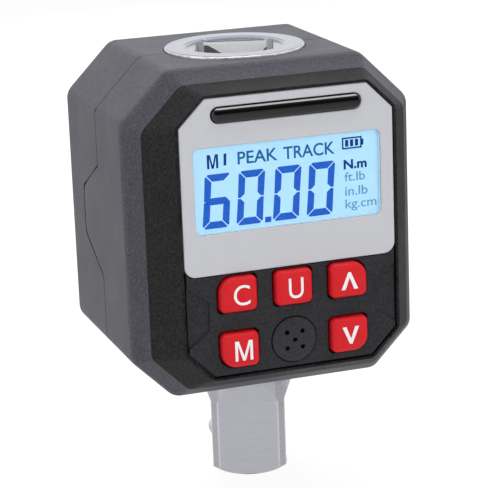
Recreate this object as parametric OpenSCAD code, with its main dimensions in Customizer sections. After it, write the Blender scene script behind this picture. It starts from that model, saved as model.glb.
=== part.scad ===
// Digital torque adapter: a square drive shaft with a strain gauge section, clamped between the
// halves of an eight sided housing with a liquid crystal display, five keys and a buzzer.
// Origin: centre of the male square's end face. +Z runs up the shaft, the display faces -Y.

/* [Drive] */
// Across flats of the male square
drive_square = 12.7; // [9.5:0.1:14]
// Length of the flats of the male square
drive_flat_len = 13.3; // [11:0.1:15]
// Radius of the turned corners of the square and of the shank
shank_r = 8.2; // [7.9:0.05:8.6]
// Across flats of the female square
socket_square = 12.85; // [12.8:0.05:13]
// Depth of the female square
socket_depth = 15; // [10:0.5:16]
// Turn of both squares about the shaft, seen from above
drive_turn = -20; // [-45:1:45]
// Radius of the plated flange on top
flange_r = 11.8; // [11.4:0.1:12.4]
// Thickness of the flange
flange_t = 1.4; // [1:0.1:1.8]
// How far the flange stands above the housing
flange_proud = 0.5; // [0.2:0.1:1]
// Radius of the socket head
head_r = 10.5; // [10.2:0.1:10.9]
// Radius of the lower collar
collar_r = 10; // [9.4:0.1:10.4]
// Radius of the measuring section
neck_r = 6.5; // [5:0.1:7.5]
// Radius of the detent ball
ball_r = 2; // [1.6:0.1:2.2]
// How far the detent ball stands out of its flat
ball_proud = 0.75; // [0.4:0.05:0.9]

/* [Housing] */
// Width of the housing
body_w = 49.6; // [48.6:0.1:54]
// Height of the housing
body_h = 54.7; // [54.6:0.1:60]
// Leg of the upper cut corners of the housing
body_corner = 8.2; // [6.5:0.1:8.5]
// Leg of the lower cut corners of the housing
body_low_corner = 7; // [6.5:0.1:8.2]
// Reach of the drive below the housing
drive_reach = 19.3; // [17.6:0.1:22]
// From the shaft's axis to the face plane
face_depth = 24.6; // [24.2:0.1:27]
// From the shaft's axis to the back
rear_depth = 21.2; // [20.9:0.1:24]
// Depth of the bevel round the back
rear_bevel = 2.8; // [1.5:0.1:3]
// Wall of both shells
wall = 2; // [1.6:0.1:2.2]
// Width of the face
face_w = 36.4; // [36:0.1:38]
// Height of the face
face_h = 46; // [45.6:0.1:46.6]
// From the top of the housing to the top of the face
face_drop = 3.1; // [2.9:0.1:3.6]
// Leg of the cut corners of the face
face_corner = 4.5; // [3.5:0.1:5]
// Lip round the face
face_lip = 0.4; // [0.3:0.05:0.6]
// Depth of the recess that holds the panel and the fascia
face_recess = 1.1; // [0.9:0.05:1.3]
// From the face plane back to the rim of the nose
rim_depth = 6; // [5.5:0.1:6.6]
// From the face plane back to the full width
shoulder_depth = 9.9; // [9.2:0.1:11]
// Inset of the rim at the sides and the bottom
rim_inset = 2.3; // [2.2:0.1:3]
// Inset of the rim at the top
rim_top_inset = 1.9; // [1.5:0.1:2.2]
// Leg of the upper cut corners of the rim
rim_corner = 6.9; // [6:0.1:7.5]
// Leg of the lower cut corners of the rim
rim_low_corner = 6.1; // [5.6:0.1:7]
// Depth of the side tongues behind the parting line
tongue_depth = 9.8; // [6:0.1:12]
// Height of a side tongue at the parting line
tongue_root = 18.9; // [14:0.1:22]
// Height of a side tongue at its end
tongue_tip = 9.6; // [6:0.1:12]
// Thickness of a side tongue
tongue_t = 1.1; // [0.8:0.05:1.2]
// From the middle of the face down to the middle of the tongues
tongue_drop = 1.1; // [0:0.1:4]

/* [Face] */
// Thickness of the display panel and the key fascia
panel_t = 1; // [0.8:0.05:1.05]
// From the middle of the face down to the panel's lower edge
panel_drop = 5.8; // [5.5:0.1:5.9]
// Radius of the panel's lower corners
panel_corner_r = 1.9; // [1:0.1:2.2]
// Width of the display window
window_w = 31.6; // [29:0.1:31.9]
// Height of the display window
window_h = 14; // [13:0.1:14.6]
// From the middle of the face up to the middle of the window
window_rise = 8; // [7.7:0.1:8.1]
// Length of the indicator bar
bar_w = 25.4; // [22:0.1:25.8]
// Height of the indicator bar
bar_h = 2.7; // [2.2:0.1:2.8]
// From the middle of the face up to the indicator bar
bar_rise = 20.05; // [20:0.05:20.3]
// Width of a key
key_w = 6.6; // [6.4:0.1:7.2]
// Height of a key
key_h = 6; // [5.9:0.1:6.6]
// From key to key across
key_pitch = 9.45; // [9.3:0.05:9.7]
// From the middle of the face down to the first row of keys
key_drop = 9.2; // [9.1:0.05:9.5]
// From the first row of keys to the second
row_pitch = 9.25; // [9.2:0.05:9.5]
// How far the keys stand out of the fascia
key_proud = 1.4; // [0.8:0.05:1.4]
// Travel of a key
key_travel = 0.5; // [0.3:0.05:0.6]
// Radius of a key's plain corners
key_corner_r = 0.8; // [0.5:0.1:1]
// Radius of a key's outer corner
key_outer_r = 2.5; // [1.5:0.1:2.6]
// Radius of the buzzer cover
grille_r = 3.75; // [3.4:0.05:4]
// Radius of a sound hole
grille_hole_r = 0.36; // [0.3:0.02:0.5]
// From the middle of the cover to a sound hole, along each axis
grille_hole_pitch = 1.33; // [1.1:0.01:1.8]
// Depth of the side marks on the fascia
mark_depth = 0.4; // [0.2:0.05:0.6]

/* [Inside] */
// Length of a cell
cell_len = 44.5; // [43:0.1:45]
// Radius of a cell
cell_r = 5.25; // [4.9:0.05:5.3]
// From the shaft's mid plane to a cell's axis, across
cell_x = 9.6; // [9.5:0.05:9.8]
// From the shaft's axis back to a cell's axis
cell_y = 14.3; // [14.2:0.05:14.4]
// Thickness of the main board
board_t = 1.6; // [1:0.1:1.8]
// From the face plane back to the front of the main board
board_depth = 6.4; // [6.3:0.05:6.6]
// Radius of a case screw's thread
case_screw_r = 1.25; // [1:0.05:1.4]
// Radius of a board screw's thread
board_screw_r = 0.8; // [0.6:0.05:0.9]

/* [Hidden] */
$fn = 64;

// Clearances: between seated pieces, in a running fit, and past the end of every cut
gap = 0.15;
run = 0.05;
over = 1;
sqrt2 = sqrt(2);

function grow(p, d) = [p[0] + d, p[1] + d, p[2] - d, p[3] + d * (2 - sqrt2), p[4] + d * (2 - sqrt2)];
function mix(p, q, t) = p + (q - p) * t;

// Heights
body_top = drive_reach + body_h;
body_mid = drive_reach + body_h / 2;
face_mid = body_top - face_drop - face_h / 2;
flange_top = body_top + flange_proud;
flange_under = flange_top - flange_t;

// Planes along the depth
face_y = -face_depth;
rim_y = face_y + rim_depth;
shoulder_y = face_y + shoulder_depth;
edge_y = rear_depth - rear_bevel;
seat_y = face_y + face_recess;
front_wall_y = seat_y + wall;
board_y = face_y + board_depth;
board_back_y = board_y + board_t;

// Eight sided outlines: half width, top, bottom, and the legs of the upper and lower cut corners
body_oct = [body_w / 2, body_top, drive_reach, body_corner, body_low_corner];
rim_oct = [body_w / 2 - rim_inset, body_top - rim_top_inset, drive_reach + rim_inset, rim_corner,
    rim_low_corner];
face_oct = [face_w / 2, face_mid + face_h / 2, face_mid - face_h / 2, face_corner, face_corner];
lip_oct = grow(face_oct, face_lip);
back_oct = grow(body_oct, -rear_bevel);
slant_share = 1.15;
slant_wall = wall * slant_share;
inner_front_oct = grow(mix(lip_oct, rim_oct, (front_wall_y - face_y) / rim_depth), -slant_wall);

// Flange and socket
flange_edge = 0.25;
head_floor = 2.5;
socket_floor = flange_top - socket_depth;
socket_corner_r = 8.35;
socket_lead = 0.5;
socket_lead_r = 8.6;
socket_dent_share = 0.45;
socket_dent_r = 2.2;
socket_dent_deep = 0.9;

// Seals, collar and neck
seal_r = 0.8;
seal_groove = 1;
upper_seal_drop = 1.8;
upper_seal_z = body_top - wall - upper_seal_drop;
collar_h = 11;
collar_under = drive_reach + wall + seal_r * 2 + gap;
collar_top = collar_under + collar_h;
shaft_cone = 3;
head_under = socket_floor - head_floor;
flat_y = 5.9;
flat_h = 14;
gauge_mid = (head_under + collar_top) / 2;
gauge_w = 5;
gauge_h = 8;
gauge_t = 0.15;

// Male square: sloped ends of its flats, turned end bevel, and the detent in its side
runout_rise = 2.2;
runout_out = 0.95;
runout_long = 3;
end_bevel = 1.3;
end_bevel_in = 1.9;
ball_z_share = 0.52;
ball_z = drive_flat_len * ball_z_share;
ball_x = drive_square / 2 + ball_proud - ball_r;
ball_hole_floor = 1;
spring_r = 1.4;
spring_wire_r = 0.2;
spring_turns = 2.5;

// Dowel in the collar
pin_r = 1.5;
pin_rise = 5.6;
pin_z = collar_under + pin_rise;
pin_out = 4.4;
pin_in = 5;

// Webs, bosses and tongues of the shells
web_t = 3.6;
upper_web_rise = 2.5;
upper_web_z = head_under + upper_web_rise;
web_front_y = -12;
web_rear_y = 9;
web_sink = 0.3;
seal_tube_r = 13;
seal_tube_h = 4.4;
case_boss_r = 2.6;
case_inset = 2.8;
case_x = back_oct[0] - case_inset;
case_drop = 10.4;
case_z = body_h / 2 - case_drop;
case_seat_y = 6;
case_head_r = 2.2;
case_head_h = 1.6;
case_thread = 13;
front_boss_y = -12;
boss_rib_t = 1.5;
seam_gap = 0.25;
tongue_corner_r = 2;
bevel_wall_share = 0.4143;
slot_len_share = 1.3;
slot_w_share = 0.25;

// Panel, window and indicator bar
groove_w = 0.35;
window_corner_r = 1;
window_z = face_mid + window_rise;
bar_z = face_mid + bar_rise;
panel_bottom = face_mid - panel_drop;
fascia_top = panel_bottom + panel_corner_r;
glass_side = 1;
glass_end = 1.5;
glass_w = window_w + 2 * glass_side;
glass_h = window_h + 2 * glass_end;
glass_t = 1.6;
holder_wall = 0.6;
led_w = 1.6;
led_h = 0.8;
led_t = 1;
led_count = 4;
led_pitch = 6.4;
pin_row_count = 16;
pin_row_pitch = 1.8;
pin_row_w = 0.5;

// Keys, their switches and the buzzer
row_a_z = face_mid - key_drop;
row_b_z = row_a_z - row_pitch;
key_front_y = seat_y - panel_t - key_proud;
key_flange = 0.5;
key_flange_t = 0.6;
key_cap_t = 2.2;
key_stem_r = 1;
stem_in = 0.3;
switch_w = 4.6;
switch_h = 2.4;
switch_well_r = 1.3;
switch_well = 1.2;
grille_lift = 0.3;
grille_z = row_b_z + grille_lift;
grille_proud = 0.5;
grille_t = 1.4;
grille_seat_r = 3;
buzzer_r = 4.1;
buzzer_h = 2.9;
buzzer_hole_r = 0.7;
mark_in = 3.95;
mark_inner_x = face_w / 2 - mark_in;
mark_top_drop = 7.3;
mark_bottom_drop = 17.7;
mark_slope = 2.2;
mark_corner_r = 0.7;

// Main board and what it carries
board_gap = 0.5;
board_boss_r = 1.6;
board_head_r = 1.5;
board_head_h = 1;
board_thread = 4;
board_oct = grow(mix(rim_oct, lip_oct, (rim_y - board_y) / rim_depth), -slant_wall - board_gap);
board_upper_in = 4.7;
board_upper_drop = 2.55;
board_lower_in = 3.1;
board_upper_x = board_oct[0] - board_upper_in;
board_upper_z = board_oct[1] - board_upper_drop;
board_lower_x = board_oct[0] - board_lower_in;
board_lower_z = (row_a_z + row_b_z) / 2;
chip_w = 6;
chip_t = 1;
chip_x = 9;
crystal_w = 2;
ribbon_w = 4;
ribbon_t = 0.2;
ribbon_drop = 2;
connector_d = 2.6;
connector_w = 6;
connector_h = 4;

// Battery bay, its contacts and its door
bay_wall = 1;
bay_side_gap = 0.35;
bay_x = cell_x + cell_r + bay_side_gap;
bay_end = 1.9;
bay_low = body_mid - cell_len / 2 - bay_end;
bay_high = body_mid + cell_len / 2 + bay_end;
bay_front_y = 8;
plate_t = 0.4;
plate_w = 8;
cell_tip_r = 1.9;
cell_tip_h = 0.8;
contact_r = 3;
contact_wire_r = 0.3;
contact_turns = 2;
contact_tip_share = 0.6;
door_in = 1;
door_t = 1.1;
door_w = 2 * (bay_x + door_in);
door_long = 3.1;
door_h = cell_len + door_long;
door_corner_r = 1.5;
door_screw_r = 0.95;
door_head_r = 2;
door_thread = 5;
door_screw_tip = rear_depth - door_t - door_thread;
lead_r = 0.6;
lead_gap = 0.5;
lead_x = board_upper_x - board_head_r - lead_r - lead_gap;
lead_rise = 2.4;
lead_z = upper_web_z + web_t + lead_rise;

function ring(p) = [
    [-p[0], p[1] - p[3]], [-p[0] + p[3], p[1]], [p[0] - p[3], p[1]], [p[0], p[1] - p[3]],
    [p[0], p[2] + p[4]], [p[0] - p[4], p[2]], [-p[0] + p[4], p[2]], [-p[0], p[2] + p[4]]];

// An outline in X and Z, made solid from y0 to y1
module along_y(y0, y1) {
    translate([0, y1, 0]) rotate([90, 0, 0]) linear_extrude(y1 - y0) children();
}

// A cylinder along Y, at x and z, from y0 to y1
module rod_y(x, z, r, y0, y1) {
    translate([x, y1, z]) rotate([90, 0, 0]) cylinder(r = r, h = y1 - y0);
}

// An eight sided prism from y0 to y1
module prism(p, y0, y1) {
    along_y(y0, y1) polygon(ring(p));
}

// A tapered stretch from outline p at y0 to outline q at y1
module taper(p, y0, q, y1) {
    a = [for (v = ring(p)) [v[0], y0, v[1]]];
    b = [for (v = ring(q)) [v[0], y1, v[1]]];
    sides = [for (i = [0:7]) [i + 8, (i + 1) % 8 + 8, (i + 1) % 8, i]];
    polyhedron(concat(a, b), concat([[for (i = [0:7]) i]], sides, [[for (i = [0:7]) 15 - i]]));
}

// A rectangle with round corners, centred at x and z
module plate(x, z, w, h, r) {
    translate([x, z]) union() {
        square([w - 2 * r, h], center = true);
        square([w, h - 2 * r], center = true);
        for (i = [-1, 1], j = [-1, 1]) translate([i * (w / 2 - r), j * (h / 2 - r)]) circle(r);
    }
}

// A key's outline: one corner, towards (i, j), is rounder; 0 gives four plain corners
module key_outline(x, z, grow_by, i, j) {
    w = key_w / 2 + grow_by;
    h = key_h / 2 + grow_by;
    small = key_corner_r + max(grow_by, 0);
    big = (i == 0 ? key_corner_r : key_outer_r) + max(grow_by, 0);
    translate([x, z]) difference() {
        plate(0, 0, 2 * w, 2 * h, small);
        if (i != 0) difference() {
            translate([i * (w - big / 2), j * (h - big / 2)]) square(big + 2 * run, center = true);
            translate([i * (w - big), j * (h - big)]) circle(big);
            translate([i * (w - big), 0]) square([2 * run, 2 * h], center = true);
        }
    }
}

// Keys as name, column, row height and the side of the rounder corner
function key_places() = [
    ["c", -key_pitch, row_a_z, -1, 1], ["u", 0, row_a_z, 0, 0], ["up", key_pitch, row_a_z, 1, 1],
    ["m", -key_pitch, row_b_z, -1, -1], ["down", key_pitch, row_b_z, 1, -1]];

// Steel shaft: plated flange and socket head, measuring neck, collar, shank and male square
module torque_shaft() {
    color([0.75, 0.76, 0.78]) difference() {
        rotate_extrude() polygon([
            [0, 0], [shank_r - end_bevel_in, 0], [shank_r, end_bevel], [shank_r, collar_under],
            [collar_r, collar_under], [collar_r, collar_top], [neck_r, collar_top + shaft_cone],
            [neck_r, head_under - shaft_cone], [head_r, head_under], [head_r, flange_under],
            [flange_r, flange_under], [flange_r, flange_top - flange_edge],
            [flange_r - flange_edge, flange_top], [0, flange_top]]);
        rotate([0, 0, drive_turn]) {
            for (a = [0:90:270]) rotate([0, 0, a]) {
                translate([drive_square / 2, -flange_r, -over])
                    cube([flange_r, 2 * flange_r, drive_flat_len + over]);
                runout();
            }
            intersection() {
                translate([-socket_square / 2, -socket_square / 2, socket_floor])
                    cube([socket_square, socket_square, socket_depth + over]);
                translate([0, 0, socket_floor]) cylinder(r = socket_corner_r, h = socket_depth + over);
            }
            translate([-ball_r, 0, socket_floor + socket_depth * socket_dent_share]) rotate([0, 90, 0])
                cylinder(r = socket_dent_r, h = socket_square / 2 + socket_dent_deep + ball_r);
            translate([-ball_hole_floor, 0, ball_z]) rotate([0, -90, 0])
                cylinder(r = ball_r + run, h = drive_square);
        }
        translate([0, 0, flange_top - socket_lead])
            cylinder(r1 = socket_lead_r - socket_lead, r2 = socket_lead_r + run, h = socket_lead + run);
        translate([0, 0, upper_seal_z]) difference() {
            cylinder(r = head_r + over, h = 2 * seal_r + run, center = true);
            cylinder(r = head_r - seal_groove, h = 4 * seal_r, center = true);
        }
        for (s = [-1, 1]) translate([-neck_r, s * (flat_y + neck_r) - neck_r, gauge_mid - flat_h / 2])
            cube([2 * neck_r, 2 * neck_r, flat_h]);
        translate([pin_in, 0, pin_z]) rotate([0, 90, 0]) cylinder(r = pin_r, h = collar_r);
    }
}

// The sloped end of one flat, where the cutter ran out of the shank
module runout() {
    out = runout_out * runout_long;
    rise = runout_rise * runout_long;
    translate([drive_square / 2, 0, drive_flat_len]) rotate([90, 0, 0])
        linear_extrude(2 * flange_r, center = true) polygon([[0, -run], [out, -run], [out, rise], [0, 0]]);
}

// Dowel that keeps the housing from turning on the shaft
module locating_pin() {
    color([0.7, 0.7, 0.7]) translate([pin_in, 0, pin_z]) rotate([0, 90, 0])
        cylinder(r = pin_r, h = collar_r + pin_out - pin_in);
}

module detent_ball() {
    color([0.8, 0.8, 0.82]) rotate([0, 0, drive_turn]) translate([-ball_x, 0, ball_z]) sphere(ball_r);
}

// Points on a coil about Z
function coil(r0, r1, h, turns, steps) = [for (i = [0:turns * steps])
    let(t = i / (turns * steps), a = 360 * i / steps) [(r0 + (r1 - r0) * t) * cos(a),
        (r0 + (r1 - r0) * t) * sin(a), h * t]];

// A six sided wire along a coil about Z
module wire_coil(r0, r1, h, turns, wire_r) {
    p = coil(r0, r1, h, turns, 8);
    n = len(p);
    rings = [for (i = [0:n - 1]) let(a = 45 * i) for (j = [0:5])
        [p[i][0] + wire_r * cos(60 * j) * cos(a), p[i][1] + wire_r * cos(60 * j) * sin(a),
            p[i][2] + wire_r * sin(60 * j)]];
    sides = [for (i = [0:n - 2], j = [0:5])
        [6 * i + j, 6 * i + (j + 1) % 6, 6 * i + 6 + (j + 1) % 6, 6 * i + 6 + j]];
    polyhedron(rings, concat([[5, 4, 3, 2, 1, 0]], sides, [[for (j = [0:5]) 6 * (n - 1) + j]]));
}

// Coil behind the ball, clear of the ball when that is pressed in
module detent_spring() {
    ball_back = ball_x - sqrt(ball_r * ball_r - pow(spring_r - spring_wire_r, 2));
    h = ball_back - ball_proud - ball_hole_floor - 2 * spring_wire_r - run;
    color([0.6, 0.6, 0.6]) rotate([0, 0, drive_turn])
        translate([-ball_hole_floor - spring_wire_r - run, 0, ball_z]) rotate([0, -90, 0])
            wire_coil(spring_r, spring_r, h, spring_turns, spring_wire_r);
}

module upper_o_ring() {
    color([0.08, 0.08, 0.08]) translate([0, 0, upper_seal_z])
        rotate_extrude() translate([head_r - seal_groove + seal_r + run, 0]) circle(seal_r - run, $fn = 24);
}

module lower_o_ring() {
    color([0.08, 0.08, 0.08]) translate([0, 0, drive_reach + wall + seal_r])
        rotate_extrude() translate([shank_r + seal_r + run, 0]) circle(seal_r, $fn = 24);
}

// Foil gauges bonded to the two flats of the neck
module strain_gauges() {
    color([0.75, 0.5, 0.2]) for (s = [-1, 1])
        translate([-gauge_w / 2, s * (flat_y + gauge_t / 2) - gauge_t / 2, gauge_mid - gauge_h / 2])
            cube([gauge_w, gauge_t, gauge_h]);
}

module gauge_ribbon() {
    color([0.8, 0.55, 0.2]) translate([-ribbon_w / 2, board_back_y + connector_d, gauge_mid - ribbon_drop])
        cube([ribbon_w, -flat_y - gauge_t - board_back_y - connector_d, ribbon_t]);
}

// Trapezoid of a side tongue in Y and Z, with round corners at its end
module tongue_outline(extra) {
    root = tongue_root / 2 + extra;
    tip = tongue_tip / 2 + extra - tongue_corner_r;
    translate([0, face_mid - tongue_drop]) hull() {
        translate([-over, -root]) square([over, 2 * root]);
        for (s = [-1, 1]) translate([tongue_depth + extra - tongue_corner_r, s * tip])
            circle(tongue_corner_r, $fn = 32);
    }
}

// Both tongues, t thick, grown by extra
module tongues(t, extra, out) {
    for (s = [-1, 1]) translate([s * (body_w / 2 - t / 2 + out / 2), 0, 0]) rotate([90, 0, 90])
        linear_extrude(t + out, center = true) tongue_outline(extra);
}

// Half of each web that carries the shaft, from y0 to y1
module webs(y0, y1) {
    inner = grow(body_oct, -wall + web_sink);
    for (z = [upper_web_z, pin_z - web_t / 2]) intersection() {
        prism(inner, y0, y1);
        translate([-body_w / 2, y0, z]) cube([body_w, y1 - y0, web_t]);
    }
}

// Half of the tube round the upper seal, on the side s
module seal_tube(s) {
    intersection() {
        translate([0, 0, body_top - wall - seal_tube_h])
            cylinder(r = seal_tube_r, h = seal_tube_h + wall / 2);
        translate([-body_w / 2, s < 0 ? -body_w / 2 : 0, 0]) cube([body_w, body_w / 2, body_top]);
    }
}

// What the shaft and its pin take out of both shells
module shaft_space() {
    cylinder(r = shank_r + gap, h = body_top);
    translate([0, 0, collar_under - 2 * seal_r - gap])
        cylinder(r = collar_r + gap, h = collar_h + shaft_cone + 2 * seal_r);
    translate([0, 0, head_under - shaft_cone]) cylinder(r = head_r + gap, h = body_h);
    translate([0, 0, flange_under - run]) cylinder(r = flange_r + gap, h = body_h);
    translate([0, 0, upper_seal_z])
        cylinder(r = head_r - seal_groove + 2 * seal_r + run, h = 2 * seal_r + run, center = true);
    translate([pin_in, 0, pin_z]) rotate([0, 90, 0])
        cylinder(r = pin_r + run, h = collar_r + pin_out - pin_in + run);
}

// Openings in the front wall behind the panel, the fascia and the keys
module face_openings() {
    plate(0, window_z, glass_w + 2 * gap, glass_h + 2 * gap, gap);
    plate(0, bar_z, bar_w, bar_h, bar_h / 2 - run);
    for (k = key_places()) key_outline(k[1], k[2], gap, k[3], k[4]);
    translate([0, grille_z]) circle(grille_seat_r);
}

function board_screw_places() = [for (s = [-1, 1])
    each [[s * board_upper_x, board_upper_z], [s * board_lower_x, board_lower_z]]];
function case_screw_places() = [for (s = [-1, 1], t = [-1, 1]) [s * case_x, body_mid + t * case_z]];

// Front housing half: chamfered nose, side walls and tongues
module front_shell() {
    color([0.16, 0.16, 0.17]) difference() {
        union() {
            difference() {
                union() {
                    taper(lip_oct, face_y, rim_oct, rim_y);
                    taper(rim_oct, rim_y, body_oct, shoulder_y);
                    prism(body_oct, shoulder_y, 0);
                }
                taper(inner_front_oct, front_wall_y, grow(rim_oct, -slant_wall), rim_y);
                taper(grow(rim_oct, -slant_wall), rim_y, grow(body_oct, -wall), shoulder_y + wall / 2);
                prism(grow(body_oct, -wall), shoulder_y + wall / 2, over);
                prism(face_oct, face_y - over, seat_y);
                along_y(face_y, front_wall_y + over) face_openings();
            }
            tongues(tongue_t, 0, 0);
            webs(web_front_y, 0);
            seal_tube(-1);
            for (p = case_screw_places()) {
                rod_y(p[0], p[1], case_boss_r, front_boss_y, 0);
                translate([p[0] > 0 ? p[0] : -body_w / 2 + wall / 2, front_boss_y, p[1] - boss_rib_t / 2])
                    cube([body_w / 2 - wall / 2 - case_x, -front_boss_y, boss_rib_t]);
            }
            for (p = board_screw_places()) rod_y(p[0], p[1], board_boss_r, front_wall_y - run, board_y);
        }
        shaft_space();
        for (p = case_screw_places()) rod_y(p[0], p[1], case_screw_r + run, front_boss_y + boss_rib_t, over);
        for (p = board_screw_places())
            rod_y(p[0], p[1], board_screw_r + run, board_y - board_thread, board_y + over);
    }
}

// The hollow that holds the two cells, open towards the back
module bay_space() {
    for (s = [-1, 1]) translate([s * cell_x, cell_y, bay_low])
        cylinder(r = cell_r + bay_side_gap, h = bay_high - bay_low);
    for (s = [-1, 1]) translate([s * cell_x - (cell_r + bay_side_gap), cell_y, bay_low])
        cube([2 * (cell_r + bay_side_gap), rear_depth - wall - cell_y + run, bay_high - bay_low]);
}

// Rear housing half with the battery bay, the door's rebate and deep screw holes
module rear_shell() {
    color([0.16, 0.16, 0.17]) difference() {
        union() {
            difference() {
                union() {
                    prism(body_oct, 0, edge_y);
                    taper(body_oct, edge_y, back_oct, rear_depth);
                }
                prism(grow(body_oct, -wall), -over, edge_y - wall * bevel_wall_share);
                taper(grow(body_oct, -wall), edge_y - wall * bevel_wall_share,
                    grow(body_oct, -wall - rear_bevel + wall * (1 - bevel_wall_share)), rear_depth - wall);
            }
            webs(0, web_rear_y);
            seal_tube(1);
            intersection() {
                prism(grow(body_oct, -wall / 2), bay_front_y, rear_depth - wall / 2);
                translate([-bay_x - bay_wall, bay_front_y, drive_reach])
                    cube([2 * (bay_x + bay_wall), rear_depth, body_h]);
            }
            for (p = case_screw_places()) {
                rod_y(p[0], p[1], case_boss_r, 0, case_seat_y);
                rod_y(p[0], p[1], case_head_r + gap + bay_wall, case_seat_y - wall, rear_depth - wall / 2);
            }
        }
        shaft_space();
        bay_space();
        tongues(tongue_t + seam_gap, seam_gap, over);
        along_y(rear_depth - door_t - gap, rear_depth + over)
            plate(0, body_mid, door_w + 2 * gap, door_h + 2 * gap, door_corner_r + gap);
        along_y(rear_depth - wall - over, rear_depth)
            plate(0, body_mid, door_w - 2 * door_in, door_h - 2 * door_in, door_corner_r);
        for (p = case_screw_places()) {
            rod_y(p[0], p[1], case_screw_r + run, -over, rear_depth);
            rod_y(p[0], p[1], case_head_r + gap, case_seat_y, rear_depth + over);
        }
        rod_y(0, body_mid, door_screw_r + run, door_screw_tip - over, rear_depth);
        for (s = [-1, 1])
            rod_y(s * lead_x, lead_z, lead_r + run, bay_front_y - over, bay_front_y + bay_wall);
    }
}

// A cross slotted screw whose head rests on the plane y = seat
module screw_y(x, z, thread_r, thread, top_r, top_h, seat) {
    rod_y(x, z, thread_r, seat - thread, seat + run);
    difference() {
        rod_y(x, z, top_r, seat, seat + top_h);
        for (a = [0, 90]) translate([x, seat + top_h, z]) rotate([0, a, 0])
            cube([top_r * slot_len_share, top_h, top_r * slot_w_share], center = true);
    }
}

module case_screws() {
    color([0.3, 0.3, 0.32]) for (p = case_screw_places())
        screw_y(p[0], p[1], case_screw_r, case_thread, case_head_r, case_head_h, case_seat_y);
}

// Outline of the display panel inside the face, its lower edge moved down by extra
module panel_outline(inset, extra) {
    intersection() {
        polygon(ring(grow(face_oct, -inset)));
        union() {
            translate([-face_w / 2, fascia_top]) square([face_w, face_h]);
            plate(0, panel_bottom + (face_h - extra) / 2, face_w - 2 * inset, face_h + extra,
                panel_corner_r + extra);
        }
    }
}

module display_panel() {
    color([0.76, 0.77, 0.78]) along_y(seat_y - panel_t, seat_y) difference() {
        panel_outline(gap, 0);
        plate(0, window_z, window_w, window_h, window_corner_r);
        plate(0, bar_z, bar_w, bar_h, bar_h / 2 - run);
    }
}

// The side mark of the fascia on the right
module side_mark() {
    top = face_mid - mark_top_drop;
    low = face_mid - mark_bottom_drop;
    x = mark_inner_x + mark_corner_r;
    polygon([[face_w, top + mark_slope], [face_w / 2, top], [x, top - mark_slope],
        [mark_inner_x, top - mark_slope - mark_corner_r], [mark_inner_x, low + mark_slope + mark_corner_r],
        [x, low + mark_slope], [face_w / 2, low], [face_w, low - mark_slope]]);
}

// Black fascia round the keys
module key_fascia() {
    color([0.1, 0.1, 0.11]) difference() {
        along_y(seat_y - panel_t, seat_y) difference() {
            intersection() {
                polygon(ring(grow(face_oct, -groove_w)));
                translate([-face_w / 2, 0]) square([face_w, fascia_top]);
            }
            panel_outline(0, gap);
            for (k = key_places()) key_outline(k[1], k[2], gap, k[3], k[4]);
            translate([0, grille_z]) circle(grille_r + gap);
        }
        along_y(face_y - over, seat_y - panel_t + mark_depth) {
            side_mark();
            mirror([1, 0]) side_mark();
        }
    }
}

// Dark lens with a light pipe behind it
module indicator_lens() {
    color([0.03, 0.03, 0.03]) {
        along_y(seat_y - panel_t - gap, front_wall_y)
            plate(0, bar_z, bar_w - 2 * gap, bar_h - 2 * gap, bar_h / 2 - gap - run);
        along_y(front_wall_y, board_y - led_t - gap)
            plate(0, bar_z, bar_w - bar_h, bar_h / 2, bar_h / 4 - run);
    }
}

module indicator_leds() {
    color([0.9, 0.9, 0.7]) for (i = [0:led_count - 1])
        translate([(i - (led_count - 1) / 2) * led_pitch - led_w / 2, board_y - led_t, bar_z - led_h / 2])
            cube([led_w, led_t, led_h]);
}

module lcd_window() {
    color([0.75, 0.92, 0.98, 0.5]) along_y(seat_y - panel_t + run, seat_y - run)
        plate(0, window_z, window_w - 2 * run, window_h - 2 * run, window_corner_r - run);
}

module lcd_glass() {
    color([0.75, 0.9, 0.95]) translate([-glass_w / 2, seat_y, window_z - glass_h / 2])
        cube([glass_w, glass_t, glass_h]);
}

// Frame round the display glass and its light guide
module lcd_holder() {
    rim = 2 * (gap + holder_wall);
    color([0.9, 0.9, 0.88]) difference() {
        along_y(front_wall_y + run, board_y)
            plate(0, window_z, glass_w + rim, glass_h + rim, holder_wall);
        along_y(front_wall_y - over, board_y + over)
            plate(0, window_z, glass_w + gap, glass_h + gap, gap / 2);
    }
}

// Light guide behind the glass, cut back along its lower edge for the pins
module lcd_backlight() {
    guide_y = seat_y + glass_t + run;
    guide_low = window_z - glass_h / 2 + pin_row_w + 2 * run;
    color([0.95, 0.97, 1]) translate([-glass_w / 2, guide_y, guide_low])
        cube([glass_w, board_y - guide_y, window_z + glass_h / 2 - guide_low]);
}

// Row of pins from the glass to the board
module lcd_pins() {
    pins_y = seat_y + glass_t;
    first_x = -(pin_row_count - 1) / 2 * pin_row_pitch - pin_row_w / 2;
    color([0.85, 0.75, 0.4]) for (i = [0:pin_row_count - 1])
        translate([first_x + i * pin_row_pitch, pins_y, window_z - glass_h / 2])
            cube([pin_row_w, board_y - pins_y, pin_row_w]);
}

module main_board() {
    color([0.05, 0.35, 0.18]) difference() {
        prism(board_oct, board_y, board_back_y);
        for (p = board_screw_places())
            rod_y(p[0], p[1], board_screw_r + gap, board_y - over, board_back_y + over);
    }
}

module board_screws() {
    color([0.7, 0.7, 0.72]) for (p = board_screw_places())
        screw_y(p[0], p[1], board_screw_r, board_thread, board_head_r, board_head_h, board_back_y);
}

module chip(x, z, w, t) {
    translate([x - w / 2, board_back_y, z - w / 2]) cube([w, t, w]);
}

module amplifier_chip() {
    color([0.08, 0.08, 0.08]) chip(-chip_x, gauge_mid + chip_w, chip_w, chip_t);
}

module controller_chip() {
    color([0.08, 0.08, 0.08]) chip(chip_x, gauge_mid + chip_w, chip_w + chip_t, chip_t);
}

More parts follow.
